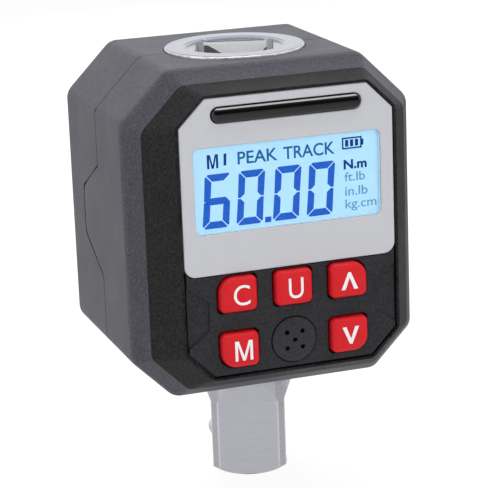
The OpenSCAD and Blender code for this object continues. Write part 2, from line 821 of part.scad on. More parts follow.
module crystal() {
    color([0.8, 0.8, 0.8]) translate([chip_x - chip_w / 2, board_back_y, gauge_mid - chip_w / 2])
        cube([chip_w, crystal_w, crystal_w]);
}

module ribbon_connector() {
    low = gauge_mid - ribbon_drop - connector_h / 2;
    color([0.92, 0.9, 0.82]) translate([-connector_w / 2, board_back_y, low])
        cube([connector_w, connector_d, connector_h]);
}

// Switches under the keys, each with a well for the key's stem
module key_switches() {
    color([0.15, 0.15, 0.16]) for (k = key_places()) difference() {
        translate([k[1] - switch_w / 2, board_y - switch_h, k[2] - switch_w / 2])
            cube([switch_w, switch_h, switch_w]);
        rod_y(k[1], k[2], switch_well_r, board_y - switch_h - over, board_y - switch_h + switch_well);
    }
}

module buzzer() {
    color([0.05, 0.05, 0.05]) difference() {
        rod_y(0, grille_z, buzzer_r, board_y - buzzer_h, board_y);
        rod_y(0, grille_z, buzzer_hole_r, board_y - buzzer_h - over, board_y - buzzer_h / 2);
    }
}

// Domed cover with five sound holes
module buzzer_cover() {
    front = seat_y - panel_t - grille_proud;
    color([0.07, 0.07, 0.08]) difference() {
        translate([0, front, grille_z]) rotate([-90, 0, 0]) rotate_extrude() polygon([
            [0, 0], [grille_r - grille_proud * 2, 0], [grille_r, grille_proud], [grille_r, seat_y - front],
            [grille_seat_r - gap, seat_y - front], [grille_seat_r - gap, seat_y - front + grille_t],
            [0, seat_y - front + grille_t]]);
        for (p = [[0, 0], [-1, -1], [-1, 1], [1, -1], [1, 1]])
            rod_y(p[0] * grille_hole_pitch, grille_z + p[1] * grille_hole_pitch, grille_hole_r,
                front - over, seat_y + grille_t + over);
    }
}

// One key: a cap with a hollow back, a stem and a flange that holds it in
module key_cap(k) {
    flange_y = front_wall_y + run;
    rim = 2 * (key_flange + gap);
    well = switch_w + 2 * gap;
    color([0.82, 0.1, 0.12]) {
        difference() {
            union() {
                along_y(key_front_y, flange_y + key_flange_t) key_outline(k[1], k[2], 0, k[3], k[4]);
                along_y(flange_y, flange_y + key_flange_t)
                    plate(k[1], k[2], key_w + rim, key_h + rim, key_corner_r);
            }
            along_y(key_front_y + key_cap_t, board_y) plate(k[1], k[2], well, well, gap);
        }
        rod_y(k[1], k[2], key_stem_r, key_front_y + key_cap_t - run, board_y - switch_h + stem_in);
    }
}

module button_c() {
    key_cap(key_places()[0]);
}

module button_u() {
    key_cap(key_places()[1]);
}

module button_up() {
    key_cap(key_places()[2]);
}

module button_m() {
    key_cap(key_places()[3]);
}

module button_down() {
    key_cap(key_places()[4]);
}

// A cell with its tip up (s = 1) or down (s = -1)
module cell(x, s) {
    translate([x, cell_y, body_mid]) rotate([0, s > 0 ? 0 : 180, 0]) {
        translate([0, 0, -cell_len / 2]) cylinder(r = cell_r, h = cell_len - cell_tip_h);
        translate([0, 0, cell_len / 2 - cell_tip_h - run]) cylinder(r = cell_tip_r, h = cell_tip_h + run);
    }
}

module battery_a() {
    color([0.15, 0.15, 0.18]) cell(-cell_x, 1);
}

module battery_b() {
    color([0.15, 0.15, 0.18]) cell(cell_x, -1);
}

// Tapered springs on the minus ends
module contact_springs() {
    base = plate_t + contact_wire_r + run;
    h = bay_end - base - contact_wire_r - run;
    color([0.8, 0.8, 0.8]) for (s = [-1, 1])
        translate([s * cell_x, cell_y, s < 0 ? bay_low + base : bay_high - base])
            rotate([s < 0 ? 0 : 180, 0, 0])
                wire_coil(contact_r, contact_r * contact_tip_share, h, contact_turns, contact_wire_r);
}

// Sheet metal plates at both ends of the cells, dished at the plus ends
module contact_plates() {
    color([0.82, 0.82, 0.84]) {
        for (s = [-1, 1], z = [bay_low, bay_high - plate_t])
            translate([s * cell_x - plate_w / 2, cell_y - plate_w / 2, z]) cube([plate_w, plate_w, plate_t]);
        for (s = [-1, 1]) translate([s * cell_x, cell_y, s < 0 ? bay_high - bay_end + run : bay_low])
            cylinder(r = cell_tip_r, h = bay_end - run);
    }
}

module battery_leads() {
    color([0.75, 0.08, 0.08]) for (s = [-1, 1])
        rod_y(s * lead_x, lead_z, lead_r, board_back_y, bay_front_y + bay_wall);
}

module battery_door() {
    color([0.15, 0.15, 0.16]) difference() {
        along_y(rear_depth - door_t, rear_depth) plate(0, body_mid, door_w, door_h, door_corner_r);
        rod_y(0, body_mid, door_screw_r + run, rear_depth - 2 * door_t, rear_depth + over);
        rod_y(0, body_mid, door_head_r + run, rear_depth - door_t / 2, rear_depth + over);
    }
}

module door_screw() {
    head_h = door_t / 2 - run;
    color([0.6, 0.6, 0.62])
        screw_y(0, body_mid, door_screw_r, door_thread, door_head_r, head_h, rear_depth - door_t / 2);
}

torque_shaft();
locating_pin();
detent_ball();
detent_spring();
upper_o_ring();
lower_o_ring();
strain_gauges();
gauge_ribbon();
front_shell();
rear_shell();
case_screws();
display_panel();
key_fascia();
indicator_lens();
indicator_leds();
lcd_window();
lcd_glass();
lcd_holder();
lcd_backlight();
lcd_pins();
main_board();
board_screws();
amplifier_chip();
controller_chip();
crystal();
ribbon_connector();
key_switches();
buzzer();
buzzer_cover();
button_c();
button_u();
button_up();
button_m();
button_down();
battery_a();
battery_b();
contact_springs();
contact_plates();
battery_leads();
battery_door();
door_screw();
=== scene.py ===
"""Looks of a digital torque adapter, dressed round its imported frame.

The housing, panel, keys, display and steel shaft are built as sub-assemblies, each a class with
its sizes and finishes. Lengths are in millimetres until a mesh is written, and in metres from
there on. The display faces -Y, +X is to the right seen from the front and +Z is up.
"""

import logging
import math
from dataclasses import astuple, dataclass, field
from enum import Enum
from typing import Callable, ClassVar, Iterable, Sequence

import bmesh
import bpy
from mathutils import Matrix, Vector

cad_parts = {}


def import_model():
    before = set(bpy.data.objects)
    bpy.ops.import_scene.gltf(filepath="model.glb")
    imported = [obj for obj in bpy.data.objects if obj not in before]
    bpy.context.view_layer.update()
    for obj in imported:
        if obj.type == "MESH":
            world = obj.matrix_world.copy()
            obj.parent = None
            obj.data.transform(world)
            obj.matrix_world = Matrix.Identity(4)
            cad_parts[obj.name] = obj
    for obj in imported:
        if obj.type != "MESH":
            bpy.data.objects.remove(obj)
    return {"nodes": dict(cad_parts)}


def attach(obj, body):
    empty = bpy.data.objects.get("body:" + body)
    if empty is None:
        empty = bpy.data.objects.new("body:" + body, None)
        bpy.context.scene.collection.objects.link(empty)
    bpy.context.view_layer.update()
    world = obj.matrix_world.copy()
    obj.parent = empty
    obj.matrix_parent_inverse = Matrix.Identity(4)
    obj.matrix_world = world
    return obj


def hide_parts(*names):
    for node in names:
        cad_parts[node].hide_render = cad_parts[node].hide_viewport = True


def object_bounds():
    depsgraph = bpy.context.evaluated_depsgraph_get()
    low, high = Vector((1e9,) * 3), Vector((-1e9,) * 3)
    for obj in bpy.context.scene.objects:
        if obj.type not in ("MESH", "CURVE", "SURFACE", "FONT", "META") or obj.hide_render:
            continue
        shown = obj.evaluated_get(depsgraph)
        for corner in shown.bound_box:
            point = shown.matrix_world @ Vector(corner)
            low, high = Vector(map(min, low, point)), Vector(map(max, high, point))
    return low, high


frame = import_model()
CAD_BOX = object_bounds()

LOG = logging.getLogger("torque_adapter")
MM = 0.001
CUT = 2 - math.sqrt(2)  # how much the legs of a cut corner shrink for each unit of inset
HAIR = 0.01  # a margin wider than any error of rounding
CREASE_DEG = 50.0  # an edge sharper than this is a corner of the solid, not a facet
HOUSING = "housing"

Point = tuple[float, float]
Place = tuple[float, float, float]
Node = bpy.types.Node
Socket = bpy.types.NodeSocket
Vert = bmesh.types.BMVert
Edge = bmesh.types.BMEdge
EdgeTest = Callable[[Vector, Vector, Edge], bool]


def link(name: str, data: bpy.types.ID) -> bpy.types.Object:
    """Make an object of its data and put it in the scene.

    Args:
        name: Name of the object.
        data: What it holds, such as a mesh or a light.

    Returns:
        The object.
    """
    made = bpy.data.objects.new(name, data)
    bpy.context.scene.collection.objects.link(made)
    return made


def evaluated(carrier: bpy.types.Object) -> bpy.types.Mesh:
    """Give the mesh that an object's modifiers or letters make, and remove the object.

    Args:
        carrier: The object, which is gone afterwards.

    Returns:
        A new mesh, with the modifiers applied.
    """
    bpy.context.view_layer.update()
    graph = bpy.context.evaluated_depsgraph_get()
    made = bpy.data.meshes.new_from_object(carrier.evaluated_get(graph))
    carrier.modifiers.clear()
    bpy.data.objects.remove(carrier)
    return made


# ---------------------------------------------------------------- node trees


class Wiring:
    """Nodes and links of one tree, where a node stands for its first output."""

    def __init__(self, tree: bpy.types.NodeTree) -> None:
        """Start from an empty tree."""
        self.tree = tree
        self.tree.nodes.clear()

    def node(self, kind: str, sockets: dict[str | int, object] | None = None,
             **settings: object) -> Node:
        """Add a node.

        Args:
            kind: Blender's name of the node.
            sockets: Input values, or nodes and sockets to link, by input name or number.
            settings: Properties of the node itself.

        Returns:
            The new node.
        """
        made = self.tree.nodes.new(kind)
        for key, value in settings.items():
            setattr(made, key, value)
        for key, given in (sockets or {}).items():
            for value in given if isinstance(given, list) else [given]:
                if isinstance(value, Node):
                    value = value.outputs[0]
                if isinstance(value, Socket):
                    self.tree.links.new(value, made.inputs[key])
                else:
                    made.inputs[key].default_value = value
        return made

    def math(self, operation: str, a: object, b: object = 0.0) -> Node:
        """Work out one value from two."""
        return self.node("ShaderNodeMath", {0: a, 1: b}, operation=operation)

    def times(self, a: object, b: object) -> Node:
        """Multiply two values."""
        return self.math("MULTIPLY", a, b)

    def ranged(self, value: object, low: float, high: float, to_low: float = 0.0,
               to_high: float = 1.0) -> Node:
        """Carry a value from one range over to another, and clamp it there."""
        return self.node("ShaderNodeMapRange", {"Value": value, "From Min": low, "From Max": high,
                                                "To Min": to_low, "To Max": to_high})

    def place(self, x: object = 0.0, y: object = 0.0, z: object = 0.0) -> Node:
        """Combine three values into a vector."""
        return self.node("ShaderNodeCombineXYZ", {0: x, 1: y, 2: z})

    def split(self, vector: object) -> Sequence[Socket]:
        """Give the x, y and z of a vector."""
        return self.node("ShaderNodeSeparateXYZ", {0: vector}).outputs

    def from_axis(self, axes: Sequence[Socket]) -> Socket:
        """Give how far a place lies from the Z axis."""
        flat = self.place(axes[0], axes[1])
        return self.node("ShaderNodeVectorMath", {0: flat}, operation="LENGTH").outputs["Value"]


class Grain(Enum):
    """How a finish's fine pattern runs over a piece."""

    SPARK = "even grains of a sparked mould"
    TURNED = "rings about the shaft"
    BRUSHED = "fine lines across the shaft"
    CLOUDY = "soft and even"


def linear(code: str) -> list[float]:
    """Turn a display colour, six hexadecimal digits, into linear red, green and blue."""
    parts = [int(code[i:i + 2], 16) / 255 for i in (0, 2, 4)]
    return [c / 12.92 if c <= 0.04045 else ((c + 0.055) / 1.055) ** 2.4 for c in parts]


@dataclass(frozen=True)
class Finish:
    """One procedural surface, with grain, colour drift and uneven gloss."""

    name: str
    code: str
    roughness: float
    grain: Grain = Grain.CLOUDY
    grain_mm: float = 0.3
    depth_mm: float = 0.01
    drift_share: float = 0.12
    gloss_swing: float = 0.06
    metallic: float = 0.0
    specular: float = 0.5
    coat: float = 0.0
    glow: float = 0.0
    clear: float = 0.0
    ior: float = 1.5

    BRUSH_STRETCH: ClassVar[float] = 0.04
    BROAD_SCALE: ClassVar[float] = 0.06
    BROAD_WEIGHT: ClassVar[float] = 0.2

    def pattern(self, wiring: Wiring) -> Node:
        """Lay the coordinates that the grain follows.

        Args:
            wiring: The material's nodes.

        Returns:
            The node that gives the place on the piece, in grains.
        """
        place = wiring.node("ShaderNodeTexCoord").outputs["Object"]
        per_metre = 1 / (self.grain_mm * MM)
        if self.grain is Grain.TURNED:
            axes = wiring.split(place)
            place = wiring.place(wiring.from_axis(axes), 0.0, axes[2])
        across = per_metre * (self.BRUSH_STRETCH if self.grain is Grain.BRUSHED else 1.0)
        return wiring.node("ShaderNodeMapping", {"Vector": place,
                                                 "Scale": (across, across, per_metre)})

    def material(self) -> bpy.types.Material:
        """Give the finish's material, making it once.

        Returns:
            The Blender material.
        """
        name = "look_" + self.name
        known = bpy.data.materials.get(name)
        if known is not None:
            return known
        made = bpy.data.materials.new(name)
        made.use_nodes = True
        wiring = Wiring(made.node_tree)
        place = self.pattern(wiring)
        fine = wiring.node("ShaderNodeTexNoise", {"Vector": place, "Scale": 1.0, "Detail": 3.0,
                                                  "Roughness": 0.6})
        broad = wiring.node("ShaderNodeTexNoise", {"Vector": place, "Scale": self.BROAD_SCALE,
                                                   "Detail": 4.0})
        both = wiring.math("ADD", fine, wiring.times(broad, self.BROAD_WEIGHT))
        dark, pale = [(*(min(1.0, c * (1 + drift)) for c in linear(self.code)), 1.0)
                      for drift in (-self.drift_share, self.drift_share)]
        color = wiring.node("ShaderNodeMix", {0: wiring.ranged(both, 0.4, 0.8), 6: dark, 7: pale},
                            data_type="RGBA").outputs[2]
        low, high = self.roughness - self.gloss_swing, self.roughness + self.gloss_swing
        sockets = {
            "Base Color": color, "Metallic": self.metallic, "Specular IOR Level": self.specular,
            "Roughness": wiring.ranged(broad, 0.3, 0.7, max(0.02, low), min(1.0, high)),
            "Normal": wiring.node("ShaderNodeBump", {"Height": fine, "Strength": 1.0,
                                                     "Distance": self.depth_mm * MM}),
            "Coat Weight": self.coat, "Coat Roughness": 0.08, "Transmission Weight": self.clear,
            "IOR": self.ior, "Emission Strength": self.glow}
        if self.glow:
            sockets["Emission Color"] = color
        skin = wiring.node("ShaderNodeBsdfPrincipled", sockets)
        wiring.node("ShaderNodeOutputMaterial", {"Surface": skin})
        return made


SPARK, TURNED, BRUSHED, CLOUDY = Grain


class Finishes:
    """The object's finishes, by the name of what carries them."""

    SHELL = Finish("shell_plastic", "45434e", 0.46, SPARK, 0.4, 0.07, 0.5, 0.05, specular=0.38)
    BAND = Finish("band_plastic", "211e20", 0.55, SPARK, 0.4, 0.07, 1.0, 0.05, specular=0.18)
    SEAM = Finish("seam_shadow", "0c0c0e", 0.7, CLOUDY, 0.5, 0.004, 0.2, specular=0.1)
    FASCIA = Finish("fascia_plastic", "2b2b2f", 0.55, SPARK, 0.32, 0.07, 0.5, 0.05, specular=0.3)
    COVER = Finish("cover_plastic", "302f34", 0.5, SPARK, 0.32, 0.07, 0.5, 0.05, specular=0.35)
    PANEL = Finish("panel_plastic", "cccdd1", 0.38, SPARK, 0.2, 0.004, 0.025, 0.04, coat=0.25)
    LENS = Finish("lens_plastic", "020203", 0.1, CLOUDY, 2.0, 0.0005, 0.3, 0.02, specular=0.8)
    WINDOW = Finish("window_clear", "f6fbff", 0.02, CLOUDY, 3.0, 0.0002, 0.0, 0.005,
                    specular=0.1, clear=1.0, ior=1.12)
    DISPLAY = Finish("display_backlit", "bae4fa", 0.3, CLOUDY, 1.2, 0.0005, 0.03, 0.03,
                     specular=0.1, glow=0.38)
    DIGIT = Finish("display_digit", "245bb7", 0.4, CLOUDY, 0.4, 0.0005, 0.12, 0.03,
                   specular=0.05, glow=0.5)
    MARK = Finish("display_mark", "063a7c", 0.45, CLOUDY, 0.4, 0.0005, 0.1, 0.03,
                  specular=0.05, glow=0.4)
    WORD = Finish("display_word", "1e5a8c", 0.45, CLOUDY, 0.4, 0.0005, 0.1, 0.03,
                  specular=0.05, glow=0.6)
    UNIT = Finish("display_unit", "5d8cae", 0.45, CLOUDY, 0.4, 0.0005, 0.1, 0.03,
                  specular=0.2, glow=0.6)
    KEY = Finish("key_red", "dc1822", 0.42, SPARK, 0.35, 0.003, 0.05, 0.05, specular=0.3)
    LEGEND = Finish("legend_white", "fafafa", 0.4, CLOUDY, 0.3, 0.001, 0.02, 0.04)
    PLATED = Finish("plated_steel", "b2b5c2", 0.16, TURNED, 0.14, 0.002, 0.08, 0.07, 1.0)
    RIM = Finish("rim_steel", "e2e2e8", 0.3, SPARK, 0.9, 0.05, 0.3, 0.12, 0.7)
    SATIN = Finish("satin_steel", "d0d0d8", 0.4, BRUSHED, 0.1, 0.005, 0.07, 0.06, 0.7)
    # dark steel of the socket's floor and corners: broached steel, and in two corners of the
    # walls also painted shadow and dark reflection
    BORE = Finish("broached_steel_and_painted_shade", "6c6866", 0.4, BRUSHED, 0.3, 0.012, 0.3, 0.08, 0.6)
    # painted light: the socket's walls are near white and barely metallic, standing in for the
    # bright far wall that lies in shade
    BORE_WALL_PAINTED_LIGHT = Finish("socket_wall_painted_light", "fafafc", 0.3, TURNED, 0.2, 0.006, 0.04, 0.06, 0.2)
    TURNED_CORNER = Finish("turned_steel", "bcbdc4", 0.3, BRUSHED, 0.12, 0.006, 0.1, 0.06, 0.9)
    # painted highlight: pale steel on the square's edge roundings, standing in for the glints
    # along its edges
    EDGE_HIGHLIGHT = Finish("edge_highlight_steel", "e4e4ea", 0.35, CLOUDY, 0.3, 0.004, 0.1, 0.06, 0.6)
    RUNOUT = Finish("runout_steel", "ccccd4", 0.38, BRUSHED, 0.12, 0.005, 0.08, 0.06, 0.7)
    BALL = Finish("ball_steel", "d8d8dc", 0.12, CLOUDY, 0.5, 0.0005, 0.03, 0.03, 1.0)
    SCREW = Finish("screw_steel", "55565a", 0.3, TURNED, 0.1, 0.004, 0.15, 0.06, 1.0)
    SMALL_STEEL = Finish("small_steel", "a4a5a8", 0.28, CLOUDY, 0.3, 0.002, 0.1, 0.06, 1.0)
    SEAL = Finish("seal_rubber", "151515", 0.72, SPARK, 0.3, 0.01, 0.2, 0.06)
    GAUGE = Finish("gauge_foil", "c48d3e", 0.35, BRUSHED, 0.3, 0.004, 0.2, 0.06, 0.6)
    FILM = Finish("flex_film", "b9781f", 0.3, CLOUDY, 0.5, 0.001, 0.1, 0.05, coat=0.4)
    LED = Finish("led_epoxy", "e8e2b0", 0.25, CLOUDY, 0.4, 0.001, 0.05, 0.05, coat=0.5)
    WHITE = Finish("white_plastic", "dedcd4", 0.45, SPARK, 0.4, 0.004, 0.03, 0.05)
    GUIDE = Finish("light_guide", "eef6fa", 0.3, CLOUDY, 0.8, 0.001, 0.03, 0.05, coat=0.3)
    CONTACT = Finish("contact_metal", "cfcdc4", 0.22, CLOUDY, 0.4, 0.002, 0.06, 0.05, 1.0)
    BOARD = Finish("board_green", "0c5230", 0.34, CLOUDY, 0.9, 0.006, 0.3, 0.06, coat=0.5)
    CHIP = Finish("chip_black", "1c1c1d", 0.55, SPARK, 0.3, 0.006, 0.15, 0.05)
    JACKET = Finish("cell_jacket", "2a2b30", 0.26, CLOUDY, 0.8, 0.002, 0.1, 0.05, coat=0.5)
    JACKET_TOP = Finish("cell_jacket_top", "b4703a", 0.28, CLOUDY, 0.8, 0.002, 0.1, 0.05, 0.5,
                        coat=0.5)
    LEAD = Finish("lead_red", "b01217", 0.4, CLOUDY, 0.5, 0.002, 0.08, 0.05)


class Tree(Wiring):
    """A geometry node tree with named sizes, evaluated to a plain mesh."""

    def __init__(self, name: str) -> None:
        """Start with a mesh input and output.

        Args:
            name: Name of the node group.
        """
        super().__init__(bpy.data.node_groups.new(name, "GeometryNodeTree"))
        for way in ("INPUT", "OUTPUT"):
            self.tree.interface.new_socket("Geometry", in_out=way,
                                           socket_type="NodeSocketGeometry")
        self.given = self.tree.nodes.new("NodeGroupInput")
        self.sizes: dict[str, float] = {}

    def size(self, name: str, value: float) -> Socket:
        """Add a named size, in millimetres, and give the socket that carries it.

        Args:
            name: Name of the size.
            value: The size, in millimetres.

        Returns:
            The socket that carries it.
        """
        self.tree.interface.new_socket(name, in_out="INPUT", socket_type="NodeSocketFloat")
        self.sizes[name] = value
        return self.given.outputs[name]

    def cylinder(self, sides: int, radius: object, depth: object, fill: int = 1) -> Node:
        """Add a cylinder about Z, its ends filled in a number of rings."""
        return self.node("GeometryNodeMeshCylinder", {"Vertices": sides, "Radius": radius,
                                                      "Depth": depth, "Fill Segments": fill})

    def moved(self, geometry: object, offset: object = (0.0, 0.0, 0.0),
              turn: object = (0.0, 0.0, 0.0)) -> Node:
        """Move and turn a geometry."""
        return self.node("GeometryNodeTransform", {"Geometry": geometry, "Translation": offset,
                                                   "Rotation": turn})

    def raised(self, geometry: object, height: object) -> Node:
        """Move a geometry up."""
        return self.moved(geometry, self.place(z=height))

    def cut(self, body: object, tools: list[Node]) -> Node:
        """Take solid tools out of a solid."""
        return self.node("GeometryNodeMeshBoolean", {0: body, 1: tools}, operation="DIFFERENCE",
                         solver="EXACT")

    def mesh(self, result: Node, finish: Finish, places: Sequence[Vector] = ()) -> bpy.types.Mesh:
        """Close the tree, run it and give its mesh, in metres.

        Args:
            result: The geometry to give out.
            finish: What the mesh is made of.
            places: Points of the mesh that the tree is given.

        Returns:
            The evaluated mesh.
        """
        real = self.node("GeometryNodeRealizeInstances", {0: result})
        dressed = self.node("GeometryNodeSetMaterial", {0: real, "Material": finish.material()})
        self.node("NodeGroupOutput", {0: dressed})
        base = bpy.data.meshes.new(self.tree.name)
        base.from_pydata([tuple(p) for p in places], [], [])
        carrier = link(self.tree.name, base)
        modifier = carrier.modifiers.new("tree", "NODES")
        modifier.node_group = self.tree
        for item in self.tree.interface.items_tree:
            if item.name in self.sizes:
                modifier[item.identifier] = self.sizes[item.name]
        made = evaluated(carrier)
        bpy.data.meshes.remove(base)
        made.transform(Matrix.Scale(MM, 4))
        return made


# ---------------------------------------------------------------- mesh making


@dataclass(frozen=True)
class Piece:
    """What a mesh becomes: its finishes by material number, its body, CAD node and slot."""

    name: str
    finishes: Sequence[Finish]
    node: str | None = None
    slot: str | None = None
    smooth_deg: float = 35.0
    body: str = HOUSING

    def dress(self, mesh: bpy.types.Mesh) -> None:
        """Make the piece of a mesh that is already in place, in metres.

        Args:
            mesh: The mesh, whose edges sharper than smooth_deg stay sharp.
        """
        mesh.name = self.name
        if mesh.materials:
            mesh.materials.clear()
        for finish in self.finishes:
            mesh.materials.append(finish.material())
        mesh.shade_smooth()
        mesh.set_sharp_from_angle(angle=math.radians(self.smooth_deg))
        piece = link(self.name, mesh)
        weigh = piece.modifiers.new("even shading", "WEIGHTED_NORMAL")
        weigh.keep_sharp = True
        weigh.weight = 80
        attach(piece, self.body)
        if self.node is not None:
            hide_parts(self.node)
        LOG.info("%s: %d faces", self.name, len(mesh.polygons))


def corners(points: Sequence[tuple[float, float, float]], steps: int = 8) -> list[Point]:
    """Round the corners of an outline.

    Args:
        points: x, z and corner radius of each corner, anticlockwise seen from the front.
        steps: Segments of each round corner.

    Returns:
        The outline's points.
    """
    out: list[Point] = []
    for i, (x, z, radius) in enumerate(points):
        here = Vector((x, z))
        back = (Vector(points[i - 1][:2]) - here).normalized()
        ahead = (Vector(points[(i + 1) % len(points)][:2]) - here).normalized()
        half = back.angle(ahead) / 2
        reach = radius / math.tan(half)
        centre = here + (back + ahead).normalized() * (radius / math.sin(half))
        start = here + back * reach - centre
        turn = start.angle_signed(here + ahead * reach - centre)
        for k in range(steps + 1):
            angle = -turn * k / steps
            cos, sin = math.cos(angle), math.sin(angle)
            out.append((centre.x + start.x * cos - start.y * sin,
                        centre.y + start.x * sin + start.y * cos))
    return out


def box_outline(x: float, z: float, half_w: float, half_h: float, radius: float,
                steps: int = 8) -> list[Point]:
    """Give a rectangle with round corners about its middle."""
    return corners([(x + i * half_w, z + j * half_h, radius)
                    for i, j in ((-1, -1), (1, -1), (1, 1), (-1, 1))], steps)


def inset(points: Sequence[Point], distance: float) -> list[Point]:
    """Move an anticlockwise outline inwards.

    Args:
        points: The outline.
        distance: How far each side moves.

    Returns:
        As many points as before.
    """
    moved: list[Point] = []
    for i, point in enumerate(points):
        here = Vector(point)
        before = (here - Vector(points[i - 1])).normalized()
        after = (Vector(points[(i + 1) % len(points)]) - here).normalized()
        bisector = Vector((-(before.y + after.y), before.x + after.x)).normalized()
        share = max(0.4, bisector.dot(Vector((-after.y, after.x))))
        moved.append(tuple(here + bisector * (distance / share)))
    return moved


class Shape:
    """A mesh under construction, in millimetres."""

    def __init__(self) -> None:
        """Start empty."""
        self.bm = bmesh.new()

    def ring(self, outline: Iterable[Point], y: float) -> list[Vert]:
        """Add an outline's points on the plane at y."""
        return [self.bm.verts.new((x, y, z)) for x, z in outline]

    def round_edge(self, outline: Sequence[Point], front: float, edge: float,
                   steps: int) -> list[list[Vert]]:
        """Add the rings of an outline's round front edge, its foot first.

        Args:
            outline: Outline, anticlockwise seen from the front.
            front: The front, in y.
            edge: Radius of the edge.
            steps: Faces across the edge.

        Returns:
            The rings, from the foot to the front.
        """
        turns = [math.pi / 2 * k / steps for k in range(steps + 1)]
        return [self.ring(inset(outline, edge * (1 - math.cos(turn))),
                          front + edge * (1 - math.sin(turn))) for turn in turns]

    def bridge(self, rings: Sequence[Sequence[Vert]]) -> None:
        """Join rings of equal length, each to the next, with four sided faces.

        Args:
            rings: Rings with as many points each.
        """
        for first, second in zip(rings, rings[1:]):
            for i in range(len(first)):
                j = (i + 1) % len(first)
                self.bm.faces.new((first[i], first[j], second[j], second[i]))

    def close(self, rings: Sequence[Sequence[Vert]]) -> None:
        """Join rings, and close the first as the back and the last as the front.

        Args:
            rings: Rings from the back to the front.
        """
        self.bridge(rings)
        self.bm.faces.new(rings[0][::-1])
        self.bm.faces.new(rings[-1])

    def slab(self, outline: Sequence[Point], back: float, front: float) -> None:
        """Add a closed plate with the given outline between two depths."""
        self.close([self.ring(outline, back), self.ring(outline, front)])

    def pierced(self, outline: Sequence[Point], holes: Sequence[Sequence[Point]], back: float,
                front: float, edge: float, steps: int = 4) -> None:
        """Add a closed plate with holes, round along all its front edges.

        Args:
            outline: Its outline, anticlockwise seen from the front.
            holes: The outlines of its holes, anticlockwise too.
            back: y of its back.
            front: y of its front.
            edge: Radius of its front edges.
            steps: Segments of the round edges.
        """
        sides: dict[float, list[Edge]] = {back: [], front: []}
        for loop in [list(outline)] + [list(hole)[::-1] for hole in holes]:
            rings = [self.ring(loop, back), *self.round_edge(loop, front, edge, steps)]
            self.bridge(rings)
            for y, ring in ((back, rings[0]), (front, rings[-1])):
                sides[y] += [self.bm.edges.get((ring[i - 1], ring[i])) for i in range(len(ring))]
        for y, edges in sides.items():
            self.fill(edges, y == front)

    def fill(self, edges: Sequence[Edge], forwards: bool) -> None:
        """Fill flat outlines with triangles that all face the front, or all the back.

        Args:
            edges: Edges of the outlines.
            forwards: Whether the triangles face the front.
        """
        made = bmesh.ops.triangle_fill(self.bm, use_beauty=True, edges=edges)
        for face in made["geom"]:
            if isinstance(face, bmesh.types.BMFace):
                face.normal_update()
                if (face.normal.y > 0) == forwards:
                    face.normal_flip()

    def turned(self, profile: Sequence[Point], segments: int) -> None:
        """Turn a profile about Z.

        Args:
            profile: Radius and z from the bottom to the top, both ends on the axis.
            segments: Steps round the axis.
        """
        turns = [2 * math.pi * i / segments for i in range(segments)]
        rings = [[self.bm.verts.new((radius * math.cos(turn), radius * math.sin(turn), z))
                  for turn in (turns if radius > 0 else turns[:1])] for radius, z in profile]
        for low, high in zip(rings, rings[1:]):
            for i in range(segments):
                j = (i + 1) % segments
                if len(low) == 1:
                    self.bm.faces.new((low[0], high[j], high[i]))
                elif len(high) == 1:
                    self.bm.faces.new((low[i], low[j], high[0]))
                else:
                    self.bm.faces.new((low[i], low[j], high[j], high[i]))

    def write(self, piece: Piece) -> None:
        """Write the mesh as a finished piece, in metres.

        Args:
            piece: What it is called, wears and stands for.
        """
        self.bm.normal_update()
        mesh = bpy.data.meshes.new(piece.name)
        self.bm.to_mesh(mesh)
        self.bm.free()
        mesh.transform(Matrix.Scale(MM, 4))
        piece.dress(mesh)


@dataclass(frozen=True)
class Rounding:
    """Edges to round: their radius, and a test told both ends of an edge and the edge."""

    radius: float
    test: EdgeTest
    sharper_deg: float = 12.0


def before(y: float) -> EdgeTest:
    """Give the test for edges that lie wholly in front of y."""
    return lambda a, b, edge: max(a.y, b.y) < y


def behind(y: float) -> EdgeTest:
    """Give the test for edges that lie wholly behind y."""
    return lambda a, b, edge: min(a.y, b.y) > y


